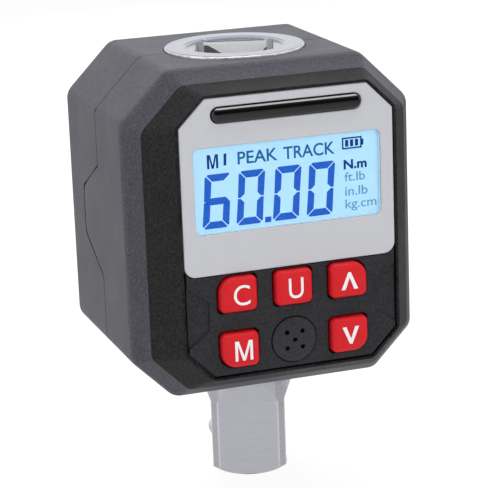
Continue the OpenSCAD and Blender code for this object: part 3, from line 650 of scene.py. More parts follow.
class Skin(Shape):
    """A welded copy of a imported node, whose sharp edges can be rounded."""

    WELD: ClassVar[float] = 0.002
    SLIVER: ClassVar[float] = 0.001
    FLAT_DEG: ClassVar[float] = 0.6

    def __init__(self, node: str) -> None:
        """Copy the node's mesh, weld it and join its flat triangles.

        Args:
            node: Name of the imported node.
        """
        super().__init__()
        self.bm.from_mesh(frame["nodes"][node].data)
        bmesh.ops.scale(self.bm, vec=(1 / MM,) * 3, verts=self.bm.verts)
        bmesh.ops.remove_doubles(self.bm, verts=self.bm.verts, dist=self.WELD)
        bmesh.ops.dissolve_degenerate(self.bm, edges=self.bm.edges, dist=self.SLIVER)
        bmesh.ops.dissolve_limit(self.bm, angle_limit=math.radians(self.FLAT_DEG),
                                 verts=self.bm.verts, edges=self.bm.edges)
        self.bm.normal_update()

    def round(self, segments: int, *groups: Rounding) -> None:
        """Round the convex edges that pass a group's test, all in one go.

        Args:
            segments: Faces across each rounding.
            groups: Radius and test of each group of edges.
        """
        layer = self.bm.edges.layers.float.new("bevel_weight_edge")
        widest = max(group.radius for group in groups)
        for edge in self.bm.edges:
            if len(edge.link_faces) != 2 or not edge.is_convex:
                continue
            for group in groups:
                if (edge.calc_face_angle(0.0) > math.radians(group.sharper_deg)
                        and group.test(edge.verts[0].co, edge.verts[1].co, edge)):
                    edge[layer] = group.radius / widest
        mesh = bpy.data.meshes.new("rounding")
        self.bm.to_mesh(mesh)
        carrier = link("rounding", mesh)
        bevel = carrier.modifiers.new("rounding", "BEVEL")
        bevel.width = widest
        bevel.segments = segments
        bevel.limit_method = "WEIGHT"
        bevel.use_clamp_overlap = False
        done = evaluated(carrier)
        self.bm.clear()
        self.bm.from_mesh(done)
        self.bm.normal_update()
        bpy.data.meshes.remove(mesh)
        bpy.data.meshes.remove(done)

    def refill(self, y: float) -> None:
        """Fill the flat skin on the plane at y anew, in triangles between its outlines.

        Args:
            y: The plane's depth.
        """
        flat = [f for f in self.bm.faces if all(abs(v.co.y - y) < self.SLIVER for v in f.verts)]
        outward = sum(f.normal.y * f.calc_area() for f in flat)
        bmesh.ops.delete(self.bm, geom=flat, context="FACES")
        self.fill([e for e in self.bm.edges if len(e.link_faces) == 1], outward <= 0)

    def paint(self, number: int, test: Callable[[Vector, Vector], bool]) -> None:
        """Give the faces that pass a test, told centre and normal, a material number.

        Args:
            number: The material number.
            test: Tells by centre and normal whether a face gets it.
        """
        for face in self.bm.faces:
            if test(face.calc_center_median(), face.normal):
                face.material_index = number


# ---------------------------------------------------------------- the housing


@dataclass
class Octagon:
    """Half width, top, bottom and legs of the cut corners of an eight sided outline at y."""

    y: float
    half: float
    top: float
    low: float
    leg: float
    low_leg: float

    def mixed(self, other: "Octagon", y: float) -> "Octagon":
        """Give the outline at depth y, on the way from this one to another."""
        t = (y - self.y) / (other.y - self.y)
        return Octagon(*(a + (b - a) * t for a, b in zip(astuple(self), astuple(other))))

    def gap(self, point: Vector) -> float:
        """Give how far a point of this plane lies outside the outline.

        Args:
            point: The point.

        Returns:
            The distance, negative inside the outline.
        """
        side, up = abs(point.x) - self.half, point.z
        upper = (side + up - self.top + self.leg) / math.sqrt(2)
        lower = (side - up + self.low + self.low_leg) / math.sqrt(2)
        return max(side, up - self.top, self.low - up, upper, lower)


@dataclass
class Screws:
    """Cross slotted screws at given seats, their heads towards the back."""

    piece: Piece
    places: list[Vector]
    head_r: float
    head_h: float
    thread_r: float
    thread: float

    DOME_R: ClassVar[float] = 0.86
    DOME_H: ClassVar[float] = 0.3
    SLOT: ClassVar[Point] = (1.3, 0.26)
    ROOT_R: ClassVar[float] = 0.8
    RIDGE_R: ClassVar[float] = 0.19
    PITCH: ClassVar[float] = 0.45

    def build(self) -> None:
        """Build one head and threaded shank, and set it at every place."""
        tree = Tree(self.piece.name)
        head_r, head_h, thread_r, thread = (tree.size(name, value) for name, value in (
            ("Head radius", self.head_r), ("Head height", self.head_h),
            ("Thread radius", self.thread_r), ("Thread length", self.thread)))
        rim_h = tree.times(head_h, 1 - self.DOME_H)
        dome = tree.node("GeometryNodeMeshCone", {
            "Vertices": 40, "Radius Top": tree.times(head_r, self.DOME_R),
            "Radius Bottom": head_r, "Depth": tree.times(head_h, self.DOME_H)})
        rim = tree.raised(tree.cylinder(40, head_r, rim_h), tree.times(rim_h, 0.5))
        head = tree.node("GeometryNodeMeshBoolean", {1: [rim, tree.raised(dome, rim_h)]},
                         operation="UNION", solver="EXACT")
        bar = tree.node("GeometryNodeMeshCube", {"Size": tree.place(
            *(tree.times(head_r, share) for share in self.SLOT), head_h)})
        head = tree.cut(head, [tree.moved(bar, tree.place(z=head_h), (0.0, 0.0, turn))
                               for turn in (0.0, math.pi / 2)])
        root = tree.times(thread_r, self.ROOT_R)
        core = tree.raised(tree.cylinder(24, root, thread), tree.times(thread, -0.5))
        helix = tree.node("GeometryNodeCurveSpiral", {
            "Resolution": 20, "Rotations": self.thread / (self.thread_r * self.PITCH),
            "Start Radius": root, "End Radius": root, "Height": thread})
        ridge = tree.node("GeometryNodeCurvePrimitiveCircle", {
            "Resolution": 4, "Radius": tree.times(thread_r, self.RIDGE_R)})
        ridge = tree.node("GeometryNodeCurveToMesh", {"Curve": helix, "Profile Curve": ridge,
                                                      "Fill Caps": True})
        ridge = tree.raised(ridge, tree.times(thread, -1.0))
        whole = tree.node("GeometryNodeJoinGeometry", {0: [head, core, ridge]})
        whole = tree.moved(whole, turn=(-math.pi / 2, 0.0, 0.0))
        points = tree.node("GeometryNodeInstanceOnPoints", {
            "Points": tree.given.outputs["Geometry"], "Instance": whole})
        self.piece.dress(tree.mesh(points, Finishes.SCREW, self.places))


@dataclass
class Housing:
    """Both halves of the eight sided housing, their screws, and the battery door."""

    outlines: list[Octagon] = field(default_factory=lambda: [
        Octagon(-24.6, 18.6, 71.3, 24.5, 4.5 + 0.4 * CUT, 4.5 + 0.4 * CUT),
        Octagon(-18.6, 22.5, 72.1, 21.6, 6.9, 6.1),
        Octagon(-14.7, 24.8, 74.0, 19.3, 8.2, 7.0),
        Octagon(18.4, 24.8, 74.0, 19.3, 8.2, 7.0),
        Octagon(21.2, 22.0, 71.2, 22.1, 8.2 - 2.8 * CUT, 7.0 - 2.8 * CUT)])
    corner_r: float = 0.9
    nose_r: float = 0.55
    seam_r: float = 0.2
    lip_r: float = 0.15
    door_r: float = 0.3
    band_w: float = 2.5
    tongue_end: float = 10.1
    tongue_half: float = 12.0
    screw_x: float = 19.2
    screw_rise: float = 16.95
    middle: float = 46.65
    screw_seat: float = 6.0
    door_screw_seat: float = 20.65
    case_screw: tuple[float, ...] = (2.2, 1.6, 1.25, 13.0)
    door_screw: tuple[float, ...] = (2.0, 0.5, 0.95, 5.0)

    def outline_at(self, y: float) -> Octagon:
        """Give the outer outline at a depth.

        Args:
            y: The depth.

        Returns:
            The outline there.
        """
        for first, second in zip(self.outlines, self.outlines[1:]):
            if y <= second.y + 1e-6:
                return first.mixed(second, y)
        return self.outlines[-1]

    def outer(self, point: Vector) -> bool:
        """Tell whether a point lies on the housing's outer skin."""
        return abs(self.outline_at(point.y).gap(point)) < 0.03

    def is_outer_edge(self, a: Vector, b: Vector, edge: Edge) -> bool:
        """Tell whether an edge and both its faces lie on the outer skin."""
        faces = [f.calc_center_median() for f in edge.link_faces]
        return all(self.outer(p) for p in (a, b, (a + b) / 2, *faces))

    def is_nose_edge(self, a: Vector, b: Vector, edge: Edge) -> bool:
        """Tell whether an edge runs along the nose, from the lip to the rim."""
        return max(a.y, b.y) < self.outlines[1].y + HAIR and self.is_outer_edge(a, b, edge) \
            and abs(a.y - b.y) > 1

    def at_seam(self, low: float, high: float) -> Rounding:
        """Round the edges of the outer skin between two depths, at the parting line.

        Args:
            low: The front depth.
            high: The back depth.

        Returns:
            The edges and their radius.
        """
        return Rounding(self.seam_r, lambda a, b, edge: (
            low < min(a.y, b.y) and max(a.y, b.y) < high and self.outer(a) and self.outer(b)),
            CREASE_DEG)

    def seam(self, skin: Skin, number: int) -> None:
        """Give the small roundings along the parting line a material number.

        Args:
            skin: The housing half.
            number: The material number.
        """
        skin.paint(number, lambda c, n: (
            abs(c.y) < 2 * self.seam_r
            or 0 < c.y < self.tongue_end and abs(c.z - self.middle) < self.tongue_half)
            and -0.4 * self.seam_r > self.outline_at(c.y).gap(c) > -1.2 * self.seam_r)

    def front(self) -> None:
        """Round and dress the front half, its nose band in a smoother finish."""
        skin = Skin("front_shell")
        face_y, rim_y = self.outlines[0].y, self.outlines[1].y
        skin.round(4, Rounding(self.corner_r, self.is_outer_edge),
                   Rounding(self.nose_r, self.is_nose_edge),
                   self.at_seam(-HAIR, self.tongue_end - 0.2),
                   Rounding(self.lip_r, before(face_y + HAIR), CREASE_DEG))
        skin.paint(1, lambda c, n: c.y < rim_y - 0.1 and (
            c.y < face_y + 0.05 or self.outline_at(c.y).gap(c) > -self.band_w))
        self.seam(skin, 2)
        skin.write(Piece("front_housing", [Finishes.SHELL, Finishes.BAND, Finishes.SEAM],
                         "front_shell", "shell_plastic"))

    def back(self) -> None:
        """Round and dress the rear half and the battery door."""
        back_y = self.outlines[-1].y
        skin = Skin("rear_shell")
        skin.round(4, Rounding(self.corner_r, self.is_outer_edge), self.at_seam(-math.inf, HAIR),
                   Rounding(self.seam_r, behind(back_y - HAIR), CREASE_DEG))
        skin.refill(back_y)
        self.seam(skin, 1)
        skin.write(Piece("rear_housing", [Finishes.SHELL, Finishes.SEAM], "rear_shell",
                         "shell_plastic"))
        skin = Skin("battery_door")
        skin.round(3, Rounding(self.door_r, behind(back_y - HAIR), CREASE_DEG))
        skin.write(Piece("door_plate", [Finishes.SHELL], "battery_door", "shell_plastic",
                         body="door"))

    def build(self) -> None:
        """Build both halves, the door and the screws."""
        self.front()
        self.back()
        places = [Vector((sx * self.screw_x, self.screw_seat, self.middle + sz * self.screw_rise))
                  for sx in (-1, 1) for sz in (-1, 1)]
        Screws(Piece("case_screw_set", [Finishes.SCREW], "case_screws", "screw_steel"),
               places, *self.case_screw).build()
        Screws(Piece("door_screw_turned", [Finishes.SCREW], "door_screw", "screw_steel",
                     body="door_fastener"),
               [Vector((0.0, self.door_screw_seat, self.middle))], *self.door_screw).build()


# ---------------------------------------------------------------- the face


@dataclass
class FacePlate:
    """The light panel with its window and indicator bar, and the dark fascia below it."""

    seat_y: float = -23.5
    front_y: float = -24.5
    panel_r: float = 0.22
    panel_half: float = 18.05
    panel_low: float = 42.1
    panel_top: float = 70.75
    panel_low_r: float = 1.9
    panel_top_r: float = 0.5
    panel_leg: float = 4.41
    fascia_r: float = 0.1
    window_r: float = 0.12
    window: tuple[float, float, float, float, float] = (0.0, 55.9, 15.8, 7.0, 1.0)
    bar_z: float = 67.95
    bar_half: Point = (12.55, 1.2)
    bar_gap: float = 0.15
    bar_seat: float = 0.5
    bar_lip: float = 0.02
    bar_section: tuple[Point, ...] = (
        (-1.2, 0.0), (-1.15, 0.25), (-1.05, 0.38), (-0.9, 0.46), (-0.6, 0.49), (-0.2, 0.5),
        (0.1, 0.5), (0.3, 0.472), (0.5, 0.43), (0.7, 0.375), (0.84, 0.308), (0.86, 0.3),
        (1.1, 0.059), (1.13, 0.03), (1.2, 0.0))
    bar_shares: tuple[float, ...] = (
        0.02, 0.05, 0.067, 0.083, 0.125, 0.167, 0.21, 0.25, 0.283, 0.3, 0.36, 0.42, 0.5, 0.58,
        0.67, 0.75, 0.83, 0.9)

    def panel(self) -> None:
        """Build the light panel with its two openings, round along all its front edges."""
        w, leg, top, low = self.panel_half, self.panel_leg, self.panel_top, self.panel_low
        outline = corners([(-w, low, self.panel_low_r), (w, low, self.panel_low_r), *(
            (x, z, self.panel_top_r) for x, z in (
                (w, top - leg), (w - leg, top), (leg - w, top), (-w, top - leg)))])
        wide, high = (half + self.bar_gap for half in self.bar_half)
        bar = box_outline(0.0, self.bar_z, wide, high, high - 0.05, 12)
        shape = Shape()
        shape.pierced(outline, [box_outline(*self.window), bar], self.seat_y, self.front_y,
                      self.panel_r)
        shape.write(Piece("light_panel", [Finishes.PANEL], "display_panel", "panel_plastic", 40))

    def indicator(self) -> None:
        """Build the crowned lens of the indicator bar."""
        shape = Shape()
        half_w, half_h = self.bar_half
        outline = box_outline(0.0, self.bar_z, half_w, half_h, half_h - HAIR, 16)
        rings = [shape.ring(outline, y) for y in (self.seat_y + self.bar_seat,
                                                  self.front_y + self.bar_lip)]
        for share in self.bar_shares:
            ring = shape.ring(inset(outline, half_h * share), self.front_y)
            edge = self.rise(-half_h * (1 - share))
            for vert in ring:
                vert.co.y -= min(edge, self.rise(vert.co.z - self.bar_z))
            rings.append(ring)
        shape.bridge(rings)
        shape.bm.faces.new(rings[0][::-1])
        crest = rings[-1]
        for i in range(len(crest) // 2 - 1):
            shape.bm.faces.new((crest[i], crest[i + 1], crest[-2 - i], crest[-1 - i]))
        shape.write(Piece("indicator_bar", [Finishes.LENS], "indicator_lens", "lens_plastic", 75))

    def rise(self, z: float) -> float:
        """Give how far the bar's lens stands out at a height above its middle.

        Args:
            z: Height above the bar's middle.

        Returns:
            The distance.
        """
        for (low, first), (high, second) in zip(self.bar_section, self.bar_section[1:]):
            if z <= high:
                return first + (second - first) * max(0.0, z - low) / (high - low)
        return 0.0

    def build(self) -> None:
        """Build everything on the face but the keys, and round the fascia and the window."""
        self.panel()
        skin = Skin("key_fascia")
        skin.round(2, Rounding(self.fascia_r, before(self.front_y + HAIR), CREASE_DEG))
        skin.refill(self.front_y)
        skin.write(Piece("dark_fascia", [Finishes.FASCIA], "key_fascia", "fascia_plastic"))
        self.indicator()
        skin = Skin("lcd_window")
        skin.round(2, Rounding(self.window_r, before(self.front_y + 0.1), CREASE_DEG))
        skin.write(Piece("clear_window", [Finishes.WINDOW], "lcd_window", "window_clear"))


@dataclass
class Words:
    """One line of lettering, fitted to a box on a plane that faces the front."""

    text: str
    x0: float
    x1: float
    z0: float
    z1: float
    weight: float = 0.0

    def add_to(self, shape: Shape, front: float, back: float) -> None:
        """Add the lettering as thin solid letters.

        Args:
            shape: The mesh that takes them.
            front: y of the letters' front.
            back: y of their back.
        """
        curve = bpy.data.curves.new("words", "FONT")
        curve.body = self.text
        curve.offset = self.weight
        curve.resolution_u = 6
        curve.extrude = 0.5
        mesh = evaluated(link("words", curve))
        bpy.data.curves.remove(curve)
        xs = [v.co.x for v in mesh.vertices]
        ys = [v.co.y for v in mesh.vertices]
        wide = (self.x1 - self.x0) / (max(xs) - min(xs))
        high = (self.z1 - self.z0) / (max(ys) - min(ys))
        for vertex in mesh.vertices:
            x, y, z = vertex.co
            vertex.co = (self.x0 + (x - min(xs)) * wide, (front + back) / 2 - z * (back - front),
                         self.z0 + (y - min(ys)) * high)
        shape.bm.from_mesh(mesh)
        bpy.data.meshes.remove(mesh)


def letter_m(x0: float, z0: float, wide: float, high: float, stroke: float) -> list[Point]:
    """Give the outline of a capital M from its foot at the left, anticlockwise.

    Args:
        x0: Its left edge.
        z0: Its foot.
        wide: Its width.
        high: Its height.
        stroke: Width of its upright strokes.

    Returns:
        Its corners.
    """
    s = stroke / wide
    shares = [(0, 0), (s, 0), (s, 0.8), (0.5 - s / 2, 0), (0.5 + s / 2, 0), (1 - s, 0.8),
              (1 - s, 0), (1, 0), (1, 1), (1 - 1.4 * s, 1), (0.5, 0.22), (1.4 * s, 1), (0, 1)]
    return [(x0 + wide * x, z0 + high * z) for x, z in shares]


@dataclass
class Display:
    """The lit display glass and its segments, words and signs, placed from the glass middle."""

    middle: float = 47.9
    ink_back: float = -23.502
    ink_front: float = -23.54
    digit_w: float = 4.45
    digit_h: float = 8.8
    bar: float = 1.14
    cut: float = 0.12
    corner: float = 0.5
    slant: float = 0.085
    base: float = 1.72
    starts: tuple[float, ...] = (-14.5, -8.82, -2.66, 3.12)
    digits: str = "6000"
    lit: dict[str, str] = field(default_factory=lambda: {"6": "acdefg", "0": "abcdef"})
    dot: tuple[Point, ...] = ((-3.98, -0.05), (-2.94, -0.05), (-2.88, 0.85), (-3.92, 0.85))
    one: tuple[Point, ...] = ((-10.57, 11.75), (-10.13, 11.75), (-10.05, 13.65), (-10.49, 13.65))
    battery: tuple[float, ...] = (9.55, 12.95, 12.12, 14.02)
    battery_line: float = 0.24

    def segment(self, key: str) -> list[Point]:
        """Give the outline of one segment of a digit, a to g, clockwise from the top.

        Args:
            key: Letter of the segment.

        Returns:
            Its corners, from the digit's lower left.
        """
        w, h, t, g, c = self.digit_w, self.digit_h, self.bar, self.cut, self.corner
        mid, near, far = h / 2, (c - g) / 2, (c + g) / 2
        low = [(c, 0.0), (w - c, 0.0), (w - far, near), (w - t - g, t), (t + g, t), (far, near)]
        left = [(0.05, mid + g * 0.8), (t * 0.45, mid + g * 0.8), (t, mid + t * 0.5 + g),
                (t, h - t - g), (near, h - far), (0, h - c)]
        if key == "g":
            near, far = g * 2, t / 2 + g * 2
            return [(near, mid), (far, mid - t / 2), (w - far, mid - t / 2), (w - near, mid),
                    (w - far, mid + t / 2), (far, mid + t / 2)]
        outline = low if key in "ad" else left
        if key in "ace":
            outline = [(x, h - z) for x, z in reversed(outline)]
        if key in "bc":
            outline = [(w - x, z) for x, z in reversed(outline)]
        return outline

    def numerals(self) -> list[list[Point]]:
        """Give the outlines of the large slanted digits and their point.

        Returns:
            An outline for each lit segment, and one for the point.
        """
        foot = self.middle + self.base
        outlines = [[(start + x + z * self.slant, foot + z) for x, z in self.segment(key)]
                    for start, digit in zip(self.starts, self.digits) for key in self.lit[digit]]
        return [*outlines, [(x, foot + z) for x, z in self.dot]]

    def battery_sign(self) -> list[list[Point]]:
        """Give the outlines of the sign of a full battery.

        Returns:
            The outlines of its frame, its tip and three bars.
        """
        x0, x1, low, high = self.battery
        z0, z1, line = self.middle + low, self.middle + high, self.battery_line
        bars = [(x0, z0, x1, z0 + line), (x0, z1 - line, x1, z1), (x0, z0, x0 + line, z1),
                (x1 - line, z0, x1, z1), (x1, z0 + 0.45, x1 + 0.3, z1 - 0.45)]
        bars += [(x0 + 0.55 + k * 0.85, z0 + 0.4, x0 + 1.08 + k * 0.85, z1 - 0.4)
                 for k in range(3)]
        return [[(a, b), (c, b), (c, d), (a, d)] for a, b, c, d in bars]

    def words(self, weight: float, *lines: tuple[str, float, float, float, float]) -> list[Words]:
        """Give lines of lettering of one weight, their heights above the glass middle."""
        return [Words(text, x0, x1, self.middle + z0, self.middle + z1, weight)
                for text, x0, x1, z0, z1 in lines]

    def build(self) -> None:
        """Build the glass, its digits, its marks and words, and the column of units."""
        Skin("lcd_glass").write(Piece("display_glass", [Finishes.DISPLAY], "lcd_glass",
                                      "lcd_glass"))
        marks = [letter_m(-13.3, self.middle + 11.45, 1.85, 2.25, 0.36),
                 [(x, self.middle + z) for x, z in self.one],
                 *self.words(0.03, ("N.m", 9.75, 13.75, 8.8, 10.38)), *self.battery_sign()]
        names = self.words(0.012, ("PEAK", -8.2, -1.5, 11.65, 13.68),
                           ("TRACK", -0.5, 8.25, 11.6, 13.66))
        units = self.words(0.006, ("ft.lb", 9.85, 13.4, 6.8, 8.3),
                           ("in.lb", 9.9, 13.8, 4.4, 5.95), ("kg.cm", 9.9, 15.3, 1.85, 3.8))
        for name, finish, parts in (
                ("display_digits", Finishes.DIGIT, self.numerals()),
                ("display_marks", Finishes.MARK, marks), ("display_words", Finishes.WORD, names),
                ("display_units", Finishes.UNIT, units)):
            shape = Shape()
            for part in parts:
                if isinstance(part, Words):
                    part.add_to(shape, self.ink_front, self.ink_back)
                else:
                    shape.slab(part, self.ink_back, self.ink_front)
            shape.write(Piece(name, [finish]))


@dataclass
class Key:
    """One key: a crowned cap with soft edges, its flange and stem, and a white legend."""

    node: str
    body: str
    x: float
    z: float
    legend: str
    rounder: tuple[int, int]
    aside: float
    half: Point = (3.2, 2.92)
    corner_r: float = 1.0
    outer_r: float = 2.5
    front: float = -25.9
    flange: float = 0.65
    flange_front: float = -21.45
    flange_back: float = -20.85
    stem_r: float = 1.0
    stem_back: float = -20.3
    pocket_half: float = 2.45
    pocket_r: float = 0.15
    pocket_floor: float = -22.0
    edge: float = 0.9
    crown: float = 0.2
    ink: float = 0.03
    arrow_half: float = 1.45
    arrow_h: float = 2.9
    arrow_bar: float = 0.62
    letter_half: float = 1.68
    crest_shares: tuple[float, ...] = (0.85, 0.6, 0.3)

    STEPS: ClassVar[int] = 10
    LETTER_WIDTHS: ClassVar[dict[str, float]] = {"C": 2.75, "U": 2.5}

    def outline(self, grown: float) -> list[Point]:
        """Give the key's outline, grown by a distance, its outer corner rounder.

        Args:
            grown: The distance.

        Returns:
            The points of the outline.
        """
        w, h = self.half[0] + grown, self.half[1] + grown
        places = ((-1, -1), (1, -1), (1, 1), (-1, 1))
        return corners([(self.x + i * w, self.z + j * h,
                         self.outer_r if (i, j) == self.rounder and grown == 0
                         else self.corner_r) for i, j in places], self.STEPS)

    def cap(self) -> None:
        """Build the cap from the pocket behind it, round its flange, to its crowned front."""
        shape = Shape()
        base, rim = self.outline(0.0), self.outline(self.flange)
        pocket = box_outline(self.x, self.z, self.pocket_half, self.pocket_half, self.pocket_r,
                             self.STEPS)
        rings = [shape.ring(pocket, self.pocket_floor), shape.ring(pocket, self.flange_back),
                 shape.ring(rim, self.flange_back), shape.ring(rim, self.flange_front),
                 shape.ring(base, self.flange_front),
                 *shape.round_edge(base, self.front, self.edge, 6)]
        top = inset(base, self.edge)
        for share in self.crest_shares:
            rings.append(shape.ring([(self.x + (x - self.x) * share,
                                      self.z + (z - self.z) * share) for x, z in top],
                                    self.front))
        shape.close(rings)
        for vert in shape.bm.verts:
            if vert.co.y < self.front + self.edge * 1.01:
                vert.co.y += self.ink + self.sink(vert.co.x, vert.co.z)
        stem = [(self.x + self.stem_r * math.cos(turn), self.z + self.stem_r * math.sin(turn))
                for turn in (math.pi * k / 12 for k in range(24))]
        shape.slab(stem, self.stem_back, self.pocket_floor + HAIR)
        shape.write(Piece("cap_" + self.body, [Finishes.KEY], self.node, "key_red", 50,
                          self.body))

    def sink(self, x: float, z: float) -> float:
        """Give how far the crowned front lies behind its middle.

        Args:
            x: Place across.
            z: Height.

        Returns:
            The distance, at most that of the crown.
        """
        across = (x - self.x) / self.half[0]
        up = (z - self.z) / self.half[1]
        return self.crown * min(1.0, (across * across + up * up) / 2)

    def arrow(self, shape: Shape) -> None:
        """Add the arrow head, up or down.

        Args:
            shape: The mesh that takes it.
        """
        sign = 1 if self.legend == "up" else -1
        w, h = self.arrow_half, self.arrow_h / 2
        slope = math.hypot(w, 2 * h) / (2 * h) * self.arrow_bar
        outline = [(0, h), (0, h - slope * 2 * h / w * 0.62), (w - slope, -h), (w, -h), (0.22, h)]
        for side in (-1, 1):
            placed = [(self.x + side * x, self.z + sign * z) for x, z in outline]
            shape.slab(placed[::-1] if side * sign > 0 else placed, 0.0, -self.ink)

    def lettering(self) -> None:
        """Build the legend so that it lies on the crowned front."""
        shape = Shape()
        if self.legend in ("up", "down"):
            self.arrow(shape)
        elif self.legend == "M":
            shape.slab(letter_m(self.x - 1.5, self.z - 1.65, 3.0, 3.3, 0.46), 0.0, -self.ink)
        else:
            half = self.LETTER_WIDTHS[self.legend] / 2
            Words(self.legend, self.x - half, self.x + half, self.z - self.letter_half,
                  self.z + self.letter_half).add_to(shape, -self.ink, 0.0)
        for vert in shape.bm.verts:
            vert.co.x += self.aside
            vert.co.y = self.front if vert.co.y < -self.ink / 2 else self.front + 3 * self.ink
        shape.write(Piece("legend_" + self.body, [Finishes.LEGEND], body=self.body))


@dataclass
class Keypad:
    """Five keys in two rows, and the buzzer's cover between the lower two."""

    pitch: float = 9.45
    row_a: float = 38.7
    row_b: float = 29.45
    cover_z: float = 29.75
    cover_r: float = 3.75
    cover_back: float = -22.25
    cover_front: float = -25.0
    crown: float = 0.38
    hole_r: float = 0.4
    hole_pitch: float = 1.33

    def cover(self) -> None:
        """Build the crowned cover and pierce its five sound holes."""
        tree = Tree("buzzer_cover_pierced")
        radius, hole, pitch, crown, thick = (tree.size(name, value) for name, value in (
            ("Radius", self.cover_r), ("Hole radius", self.hole_r),
            ("Hole pitch", self.hole_pitch), ("Crown", self.crown),
            ("Thickness", self.cover_back - self.cover_front)))
        middle, apart = tree.times(thick, 0.5), tree.times(pitch, 2.0)
        disc = tree.raised(tree.cylinder(96, radius, thick, 14), middle)
        axes = tree.split(tree.node("GeometryNodeInputPosition"))
        share = tree.math("POWER", tree.math("DIVIDE", tree.from_axis(axes), radius), 3.0)
        drop = tree.times(tree.times(share, crown), -1.0)
        disc = tree.node("GeometryNodeSetPosition", {
            "Geometry": disc, "Selection": tree.math("GREATER_THAN", axes[2], middle),
            "Offset": tree.place(z=drop)})
        square = tree.node("GeometryNodeMeshGrid", {"Size X": apart, "Size Y": apart,
                                                    "Vertices X": 2, "Vertices Y": 2})
        centre = tree.node("GeometryNodeMeshLine", {"Count": 1})
        drills = tree.node("GeometryNodeInstanceOnPoints", {
            "Points": tree.node("GeometryNodeJoinGeometry", {0: [square, centre]}),
            "Instance": tree.cylinder(20, hole, tree.times(thick, 3.0))})
        disc = tree.cut(disc, [tree.node("GeometryNodeRealizeInstances", {0: drills})])
        disc = tree.moved(disc, (0.0, self.cover_back, self.cover_z), (math.pi / 2, 0.0, 0.0))
        Piece("sound_cover", [Finishes.COVER], "buzzer_cover", "cover_plastic").dress(
            tree.mesh(disc, Finishes.COVER))

    def build(self) -> None:
        """Build the five keys and the cover."""
        for name, column, row, legend, aside in (
                ("c", -1, 1, "C", 0.35), ("u", 0, 1, "U", 0.15), ("up", 1, 1, "up", -0.05),
                ("m", -1, -1, "M", 0.35), ("down", 1, -1, "down", -0.05)):
            key = Key("button_" + name, "key_" + name, column * self.pitch,
                      self.row_a if row > 0 else self.row_b, legend, (column, row), aside)
            key.cap()
            key.lettering()
        self.cover()


# ---------------------------------------------------------------- the shaft


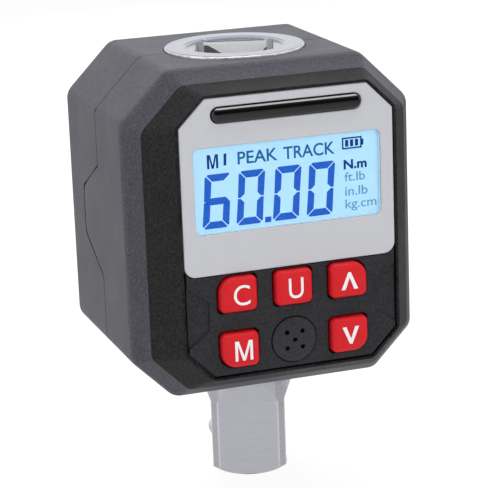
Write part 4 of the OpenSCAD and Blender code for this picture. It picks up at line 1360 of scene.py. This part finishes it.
@dataclass
class Shaft:
    """The steel shaft with its plated flange and satin square."""

    flange_under: float = 73.1
    square_top: float = 13.3
    runout_top: float = 17.5
    end: float = 0.0
    socket_floor: float = 59.5
    edge_r: float = 0.16
    flange_deg: float = 20.0
    square_deg: float = 14.0
    sliver: float = 0.004
    rim_from: float = 9.0
    bore_r: float = 8.3
    wall_r: float = 8.0
    wall_from: float = 5.5
    flat_deg: float = 3.0
    corner_deg: float = 36.0
    turn_deg: float = -20.0
    # lines that bound the two wall corners painted dark, as broach marks and as painted shadow
    rough_shade_lines: tuple[tuple[Point, Point], ...] = (
        ((-4.7, 73.3), (-1.4, 71.3)), ((3.8, 71.3), (5.8, 73.2)), ((-6.0, 73.3), (6.0, 73.3)))

    def build(self) -> None:
        """Round the shaft's edges and dress each stretch of it."""
        skin = Skin("torque_shaft")
        under, floor, square = self.flange_under, self.socket_floor - 0.2, self.square_top
        skin.round(3, Rounding(self.edge_r, lambda a, b, edge: min(a.z, b.z) > under - HAIR,
                               self.flange_deg),
                   Rounding(self.edge_r, lambda a, b, edge: max(a.z, b.z) < self.runout_top,
                            self.square_deg))
        for vert in skin.bm.verts:
            vert.co.z = max(self.end, vert.co.z)
        bmesh.ops.dissolve_degenerate(skin.bm, edges=skin.bm.edges, dist=self.sliver)
        turned = Matrix.Rotation(math.radians(-self.turn_deg), 3, "Z")
        tests: tuple[Callable[[Vector, Vector, float, float], bool], ...] = (
            lambda c, n, off, radius: c.z < under - 0.3,
            lambda c, n, off, radius: floor < c.z < under + 0.9 and radius < self.bore_r,
            lambda c, n, off, radius: square - 0.2 < c.z < self.runout_top and -0.6 < n.z < -0.2,
            lambda c, n, off, radius: c.z < self.runout_top and off > self.corner_deg,
            # the square's edge roundings, which carry the painted highlight
            lambda c, n, off, radius: (c.z < square - 1 and abs(n.z) < 0.1
                                       and self.flat_deg < off < self.corner_deg),
            # the socket's walls, painted near white as light
            lambda c, n, off, radius: (floor < c.z < under + 0.5 and radius < self.wall_r
                                       and abs(n.z) < 0.1 and off < self.flat_deg))
        for number, test in enumerate(tests, 1):
            skin.paint(number, lambda c, n: test(c, n, self.off_flat(turned @ n),
                                                 math.hypot(c.x, c.y)))
        # two corners of the socket's walls go back to the dark steel: broach marks with painted
        # shadow and dark reflection
        self.broached_and_shaded(skin, turned)
        skin.paint(7, lambda c, n: c.z > under and abs(n.z) < 0.75
                   and math.hypot(c.x, c.y) > self.rim_from)
        skin.write(Piece("steel_shaft", [
            Finishes.PLATED, Finishes.SATIN, Finishes.BORE, Finishes.RUNOUT,
            Finishes.TURNED_CORNER, Finishes.EDGE_HIGHLIGHT, Finishes.BORE_WALL_PAINTED_LIGHT, Finishes.RIM],
            "torque_shaft", "shaft_steel", 25))

    def broached_and_shaded(self, skin: Skin, turned: Matrix) -> None:
        """Split the socket's walls near two corners, and paint those corners dark: partly rough
        broach marks, partly painted shadow and dark reflection.

        Args:
            skin: The shaft's mesh.
            turned: Turns the shaft so that its square lies along the axes.
        """
        for (x0, z0), (x1, z1) in self.rough_shade_lines:
            wall = [f for f in skin.bm.faces if f.material_index == 6
                    and (turned @ f.calc_center_median()).y > self.wall_from]
            parts = {part for face in wall for part in (*face.verts, *face.edges)}
            across = Vector((z1 - z0, 0.0, x0 - x1)).normalized()
            bmesh.ops.bisect_plane(skin.bm, geom=[*wall, *parts], dist=1e-4,
                                   plane_co=turned.inverted() @ Vector((x0, self.wall_from, z0)),
                                   plane_no=turned.inverted() @ across)
        (left0, left1), (right0, right1), (level, _) = self.rough_shade_lines
        for face in skin.bm.faces:
            place = turned @ face.calc_center_median()
            if face.material_index != 6 or place.y < self.wall_from or place.z > level[1]:
                continue
            if (self.below(place, left0, left1) and place.x < left1[0]
                    or self.below(place, right0, right1) and place.x > right0[0]):
                face.material_index = 2

    @staticmethod
    def below(place: Vector, first: Point, second: Point) -> bool:
        """Tell whether a place lies below the line through two points of x and z."""
        share = (place.x - first[0]) / (second[0] - first[0])
        return place.z < first[1] + share * (second[1] - first[1])

    @staticmethod
    def off_flat(normal: Vector) -> float:
        """Give how many degrees a normal of the square is turned off the nearest flat's.

        Args:
            normal: The normal.

        Returns:
            The degrees, 0 for a normal that points up or down.
        """
        if math.hypot(normal.x, normal.y) < 0.3:
            return 0.0
        angle = math.degrees(math.atan2(abs(normal.y), abs(normal.x)))
        return min(angle, 90 - angle)


# ---------------------------------------------------------------- the inside


@dataclass
class Cells:
    """The two cells in the bay, each a turned can in a printed jacket."""

    x: float = 9.6
    y: float = 14.3
    z: float = 46.65
    length: float = 44.5
    radius: float = 5.25
    band: float = 14.0

    def cell(self, name: str, node: str, side: int) -> None:
        """Build one cell, the left one (side -1) with its tip up and the right one turned.

        Args:
            name: Name of the piece.
            node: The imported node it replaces.
            side: -1 for the left one, 1 for the right one.
        """
        half, r = self.length / 2, self.radius
        shape = Shape()
        shape.turned([(0, -half), (3.4, -half), (3.7, -half + 0.15), (r - 0.5, -half + 0.15),
                      (r - 0.08, -half + 0.4), (r, -half + 0.8), (r, half - self.band),
                      (r, half - 1.7), (r - 0.15, half - 1.2), (r - 0.7, half - 0.85),
                      (3.0, half - 0.95), (2.0, half - 0.9), (1.88, half - 0.2), (1.6, half),
                      (0, half)], 56)
        for face in shape.bm.faces:
            middle = face.calc_center_median()
            if half - self.band < middle.z < half - 1.2:
                face.material_index = 1
            elif abs(middle.z) > half - 1.3 and middle.to_2d().length < r - 0.3:
                face.material_index = 2
        if side > 0:
            bmesh.ops.rotate(shape.bm, cent=(0, 0, 0), verts=shape.bm.verts,
                             matrix=Matrix.Rotation(math.pi, 3, "Y"))
        bmesh.ops.translate(shape.bm, vec=(side * self.x, self.y, self.z), verts=shape.bm.verts)
        shape.write(Piece(name, [Finishes.JACKET, Finishes.JACKET_TOP, Finishes.CONTACT], node,
                          "cell_jacket", 50))

    def build(self) -> None:
        """Build both cells."""
        self.cell("cell_left", "battery_a", -1)
        self.cell("cell_right", "battery_b", 1)


class Kept:
    """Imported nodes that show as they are, by the finish they carry."""

    NODES: ClassVar[dict[Finish, str]] = {
        Finishes.BALL: "detent_ball", Finishes.SMALL_STEEL: "locating_pin detent_spring",
        Finishes.SEAL: "upper_o_ring lower_o_ring", Finishes.GAUGE: "strain_gauges",
        Finishes.FILM: "gauge_ribbon", Finishes.LED: "indicator_leds",
        Finishes.WHITE: "lcd_holder ribbon_connector", Finishes.GUIDE: "lcd_backlight",
        Finishes.CONTACT: "lcd_pins crystal contact_springs contact_plates",
        Finishes.BOARD: "main_board", Finishes.SCREW: "board_screws",
        Finishes.CHIP: "amplifier_chip controller_chip key_switches buzzer",
        Finishes.LEAD: "battery_leads"}

    @classmethod
    def dress(cls) -> None:
        """Give each kept node its finish."""
        for finish, nodes in cls.NODES.items():
            for node in nodes.split():
                mesh = frame["nodes"][node].data
                mesh.materials.clear()
                mesh.materials.append(finish.material())
                LOG.info("%s: %s", node, finish.name)


# ---------------------------------------------------------------- the studio


@dataclass(frozen=True)
class Lamp:
    """One soft lamp, its places and sizes in metres and its power in watts."""

    name: str
    place: Place
    width: float
    power: float
    mirrored: bool = True
    depth: float | None = None
    aim: Place = (0.0, 0.0, 0.045)

    def hang(self) -> None:
        """Hang the lamp, seen in gloss only where it is mirrored."""
        data = bpy.data.lights.new(self.name, "AREA")
        data.shape = "RECTANGLE"
        data.size = self.width
        data.size_y = self.depth or self.width
        data.energy = self.power
        lamp = link(self.name, data)
        lamp.visible_glossy = self.mirrored
        toward = (Vector(self.aim) - Vector(self.place)).to_track_quat("-Z", "Y")
        lamp.matrix_world = Matrix.Translation(self.place) @ toward.to_matrix().to_4x4()


@dataclass
class Studio:
    """The camera, floor, world and lamps."""

    azimuth: float = -18.793
    elevation: float = 15.167
    roll: float = -2.2055
    place: Place = (-113.169, -333.634, 135.244)
    lens: float = 156.843
    floor_half: float = 6.0
    floor_color: float = 0.93
    floor_share: float = 0.82
    floor_light: float = 1.1
    front_gloss: float = 0.7
    back_gloss: float = 0.8
    right_share: float = 0.5
    front_dark: float = 0.06
    ambient: float = 0.34
    lamps: tuple[Lamp, ...] = (
        Lamp("left_soft", (-0.9, -0.2, 0.2), 0.5, 1.0),
        Lamp("top_strip", (0.0, -0.18, 0.8), 1.2, 2.0, depth=0.08),
        Lamp("front_soft", (0.25, -0.9, 0.35), 0.6, 3.4, False),
        Lamp("back_soft", (0.0, 0.4, 0.26), 0.3, 1.7, False, aim=(0.0, 0.02, 0.074)))

    def camera(self) -> None:
        """Set the camera at the photograph's place."""
        data = bpy.data.cameras.new("camera")
        data.sensor_width = 36.0
        data.lens = self.lens
        data.clip_start = 0.01
        data.clip_end = 50.0
        camera = link("camera", data)
        camera.matrix_world = Matrix.Translation(Vector(self.place) * MM)
        for angle, axis in ((self.azimuth, "Z"), (90 - self.elevation, "X"), (self.roll, "Z")):
            camera.matrix_world @= Matrix.Rotation(math.radians(angle), 4, axis)
        bpy.context.scene.camera = camera

    @staticmethod
    def seen(wiring: Wiring, camera_share: float) -> Node:
        """Give a share for camera rays, 1 for gloss and glass rays, and else 0.

        Args:
            wiring: The material's nodes.
            camera_share: The share for camera rays.

        Returns:
            The node that gives the share.
        """
        path = wiring.node("ShaderNodeLightPath").outputs
        other = wiring.math("MAXIMUM", path["Is Glossy Ray"], path["Is Transmission Ray"])
        return wiring.math("MAXIMUM", wiring.times(path["Is Camera Ray"], camera_share), other)

    def floor(self) -> None:
        """Lay a pale floor that keeps a soft shadow, darker at the right for gloss."""
        mesh = bpy.data.meshes.new("floor")
        half = self.floor_half
        mesh.from_pydata([(x * half, y * half, CAD_BOX[0].z)
                          for x, y in ((-1, -1), (1, -1), (1, 1), (-1, 1))], [], [(0, 1, 2, 3)])
        floor = link("floor", mesh)
        material = bpy.data.materials.new("floor_paper")
        material.use_nodes = True
        wiring = Wiring(material.node_tree)
        axes = wiring.split(wiring.node("ShaderNodeTexCoord").outputs["Object"])
        behind_it = wiring.ranged(axes[1], -0.08, 0.12, self.front_gloss, self.back_gloss)
        right = wiring.ranged(axes[0], 0.02, 0.2, 1.0, self.right_share)
        strength = wiring.node("ShaderNodeMix", {
            0: wiring.node("ShaderNodeLightPath").outputs["Is Camera Ray"],
            2: wiring.times(behind_it, right), 3: self.floor_light}, data_type="FLOAT")
        paper = wiring.node("ShaderNodeBsdfDiffuse", {"Color": (*(self.floor_color,) * 3, 1.0)})
        light = wiring.node("ShaderNodeEmission", {"Color": (1.0, 1.0, 1.0, 1.0),
                                                   "Strength": strength})
        mixed = wiring.node("ShaderNodeMixShader", {0: self.seen(wiring, self.floor_share),
                                                    1: paper, 2: light})
        wiring.node("ShaderNodeOutputMaterial", {"Surface": mixed})
        mesh.materials.append(material)

    def world(self) -> None:
        """Light the object evenly from all round, with a darker side behind the camera."""
        world = bpy.data.worlds.new("studio")
        bpy.context.scene.world = world
        world.use_nodes = True
        wiring = Wiring(world.node_tree)
        axes = wiring.split(wiring.node("ShaderNodeTexCoord").outputs["Generated"])
        front = wiring.ranged(axes[1], -0.9, -0.25, self.front_dark)
        ambient = wiring.node("ShaderNodeBackground", {"Color": (0.95, 0.97, 1.0, 1.0),
                                                       "Strength": self.ambient})
        shown = wiring.node("ShaderNodeBackground", {"Color": (1.0, 1.0, 1.0, 1.0),
                                                     "Strength": front})
        mixed = wiring.node("ShaderNodeMixShader", {0: self.seen(wiring, 1.0), 1: ambient,
                                                    2: shown})
        wiring.node("ShaderNodeOutputWorld", {"Surface": mixed})

    def build(self) -> None:
        """Set the whole studio."""
        bpy.context.scene.view_settings.view_transform = "Standard"
        self.camera()
        self.floor()
        self.world()
        for lamp in self.lamps:
            lamp.hang()


def main() -> None:
    """Build every sub-assembly in order."""
    logging.basicConfig(level=logging.INFO, format="%(name)s: %(message)s")
    for part in (Studio(), Housing(), FacePlate(), Display(), Keypad(), Shaft(), Cells()):
        part.build()
    Kept.dress()


if __name__ == "__main__":
    main()
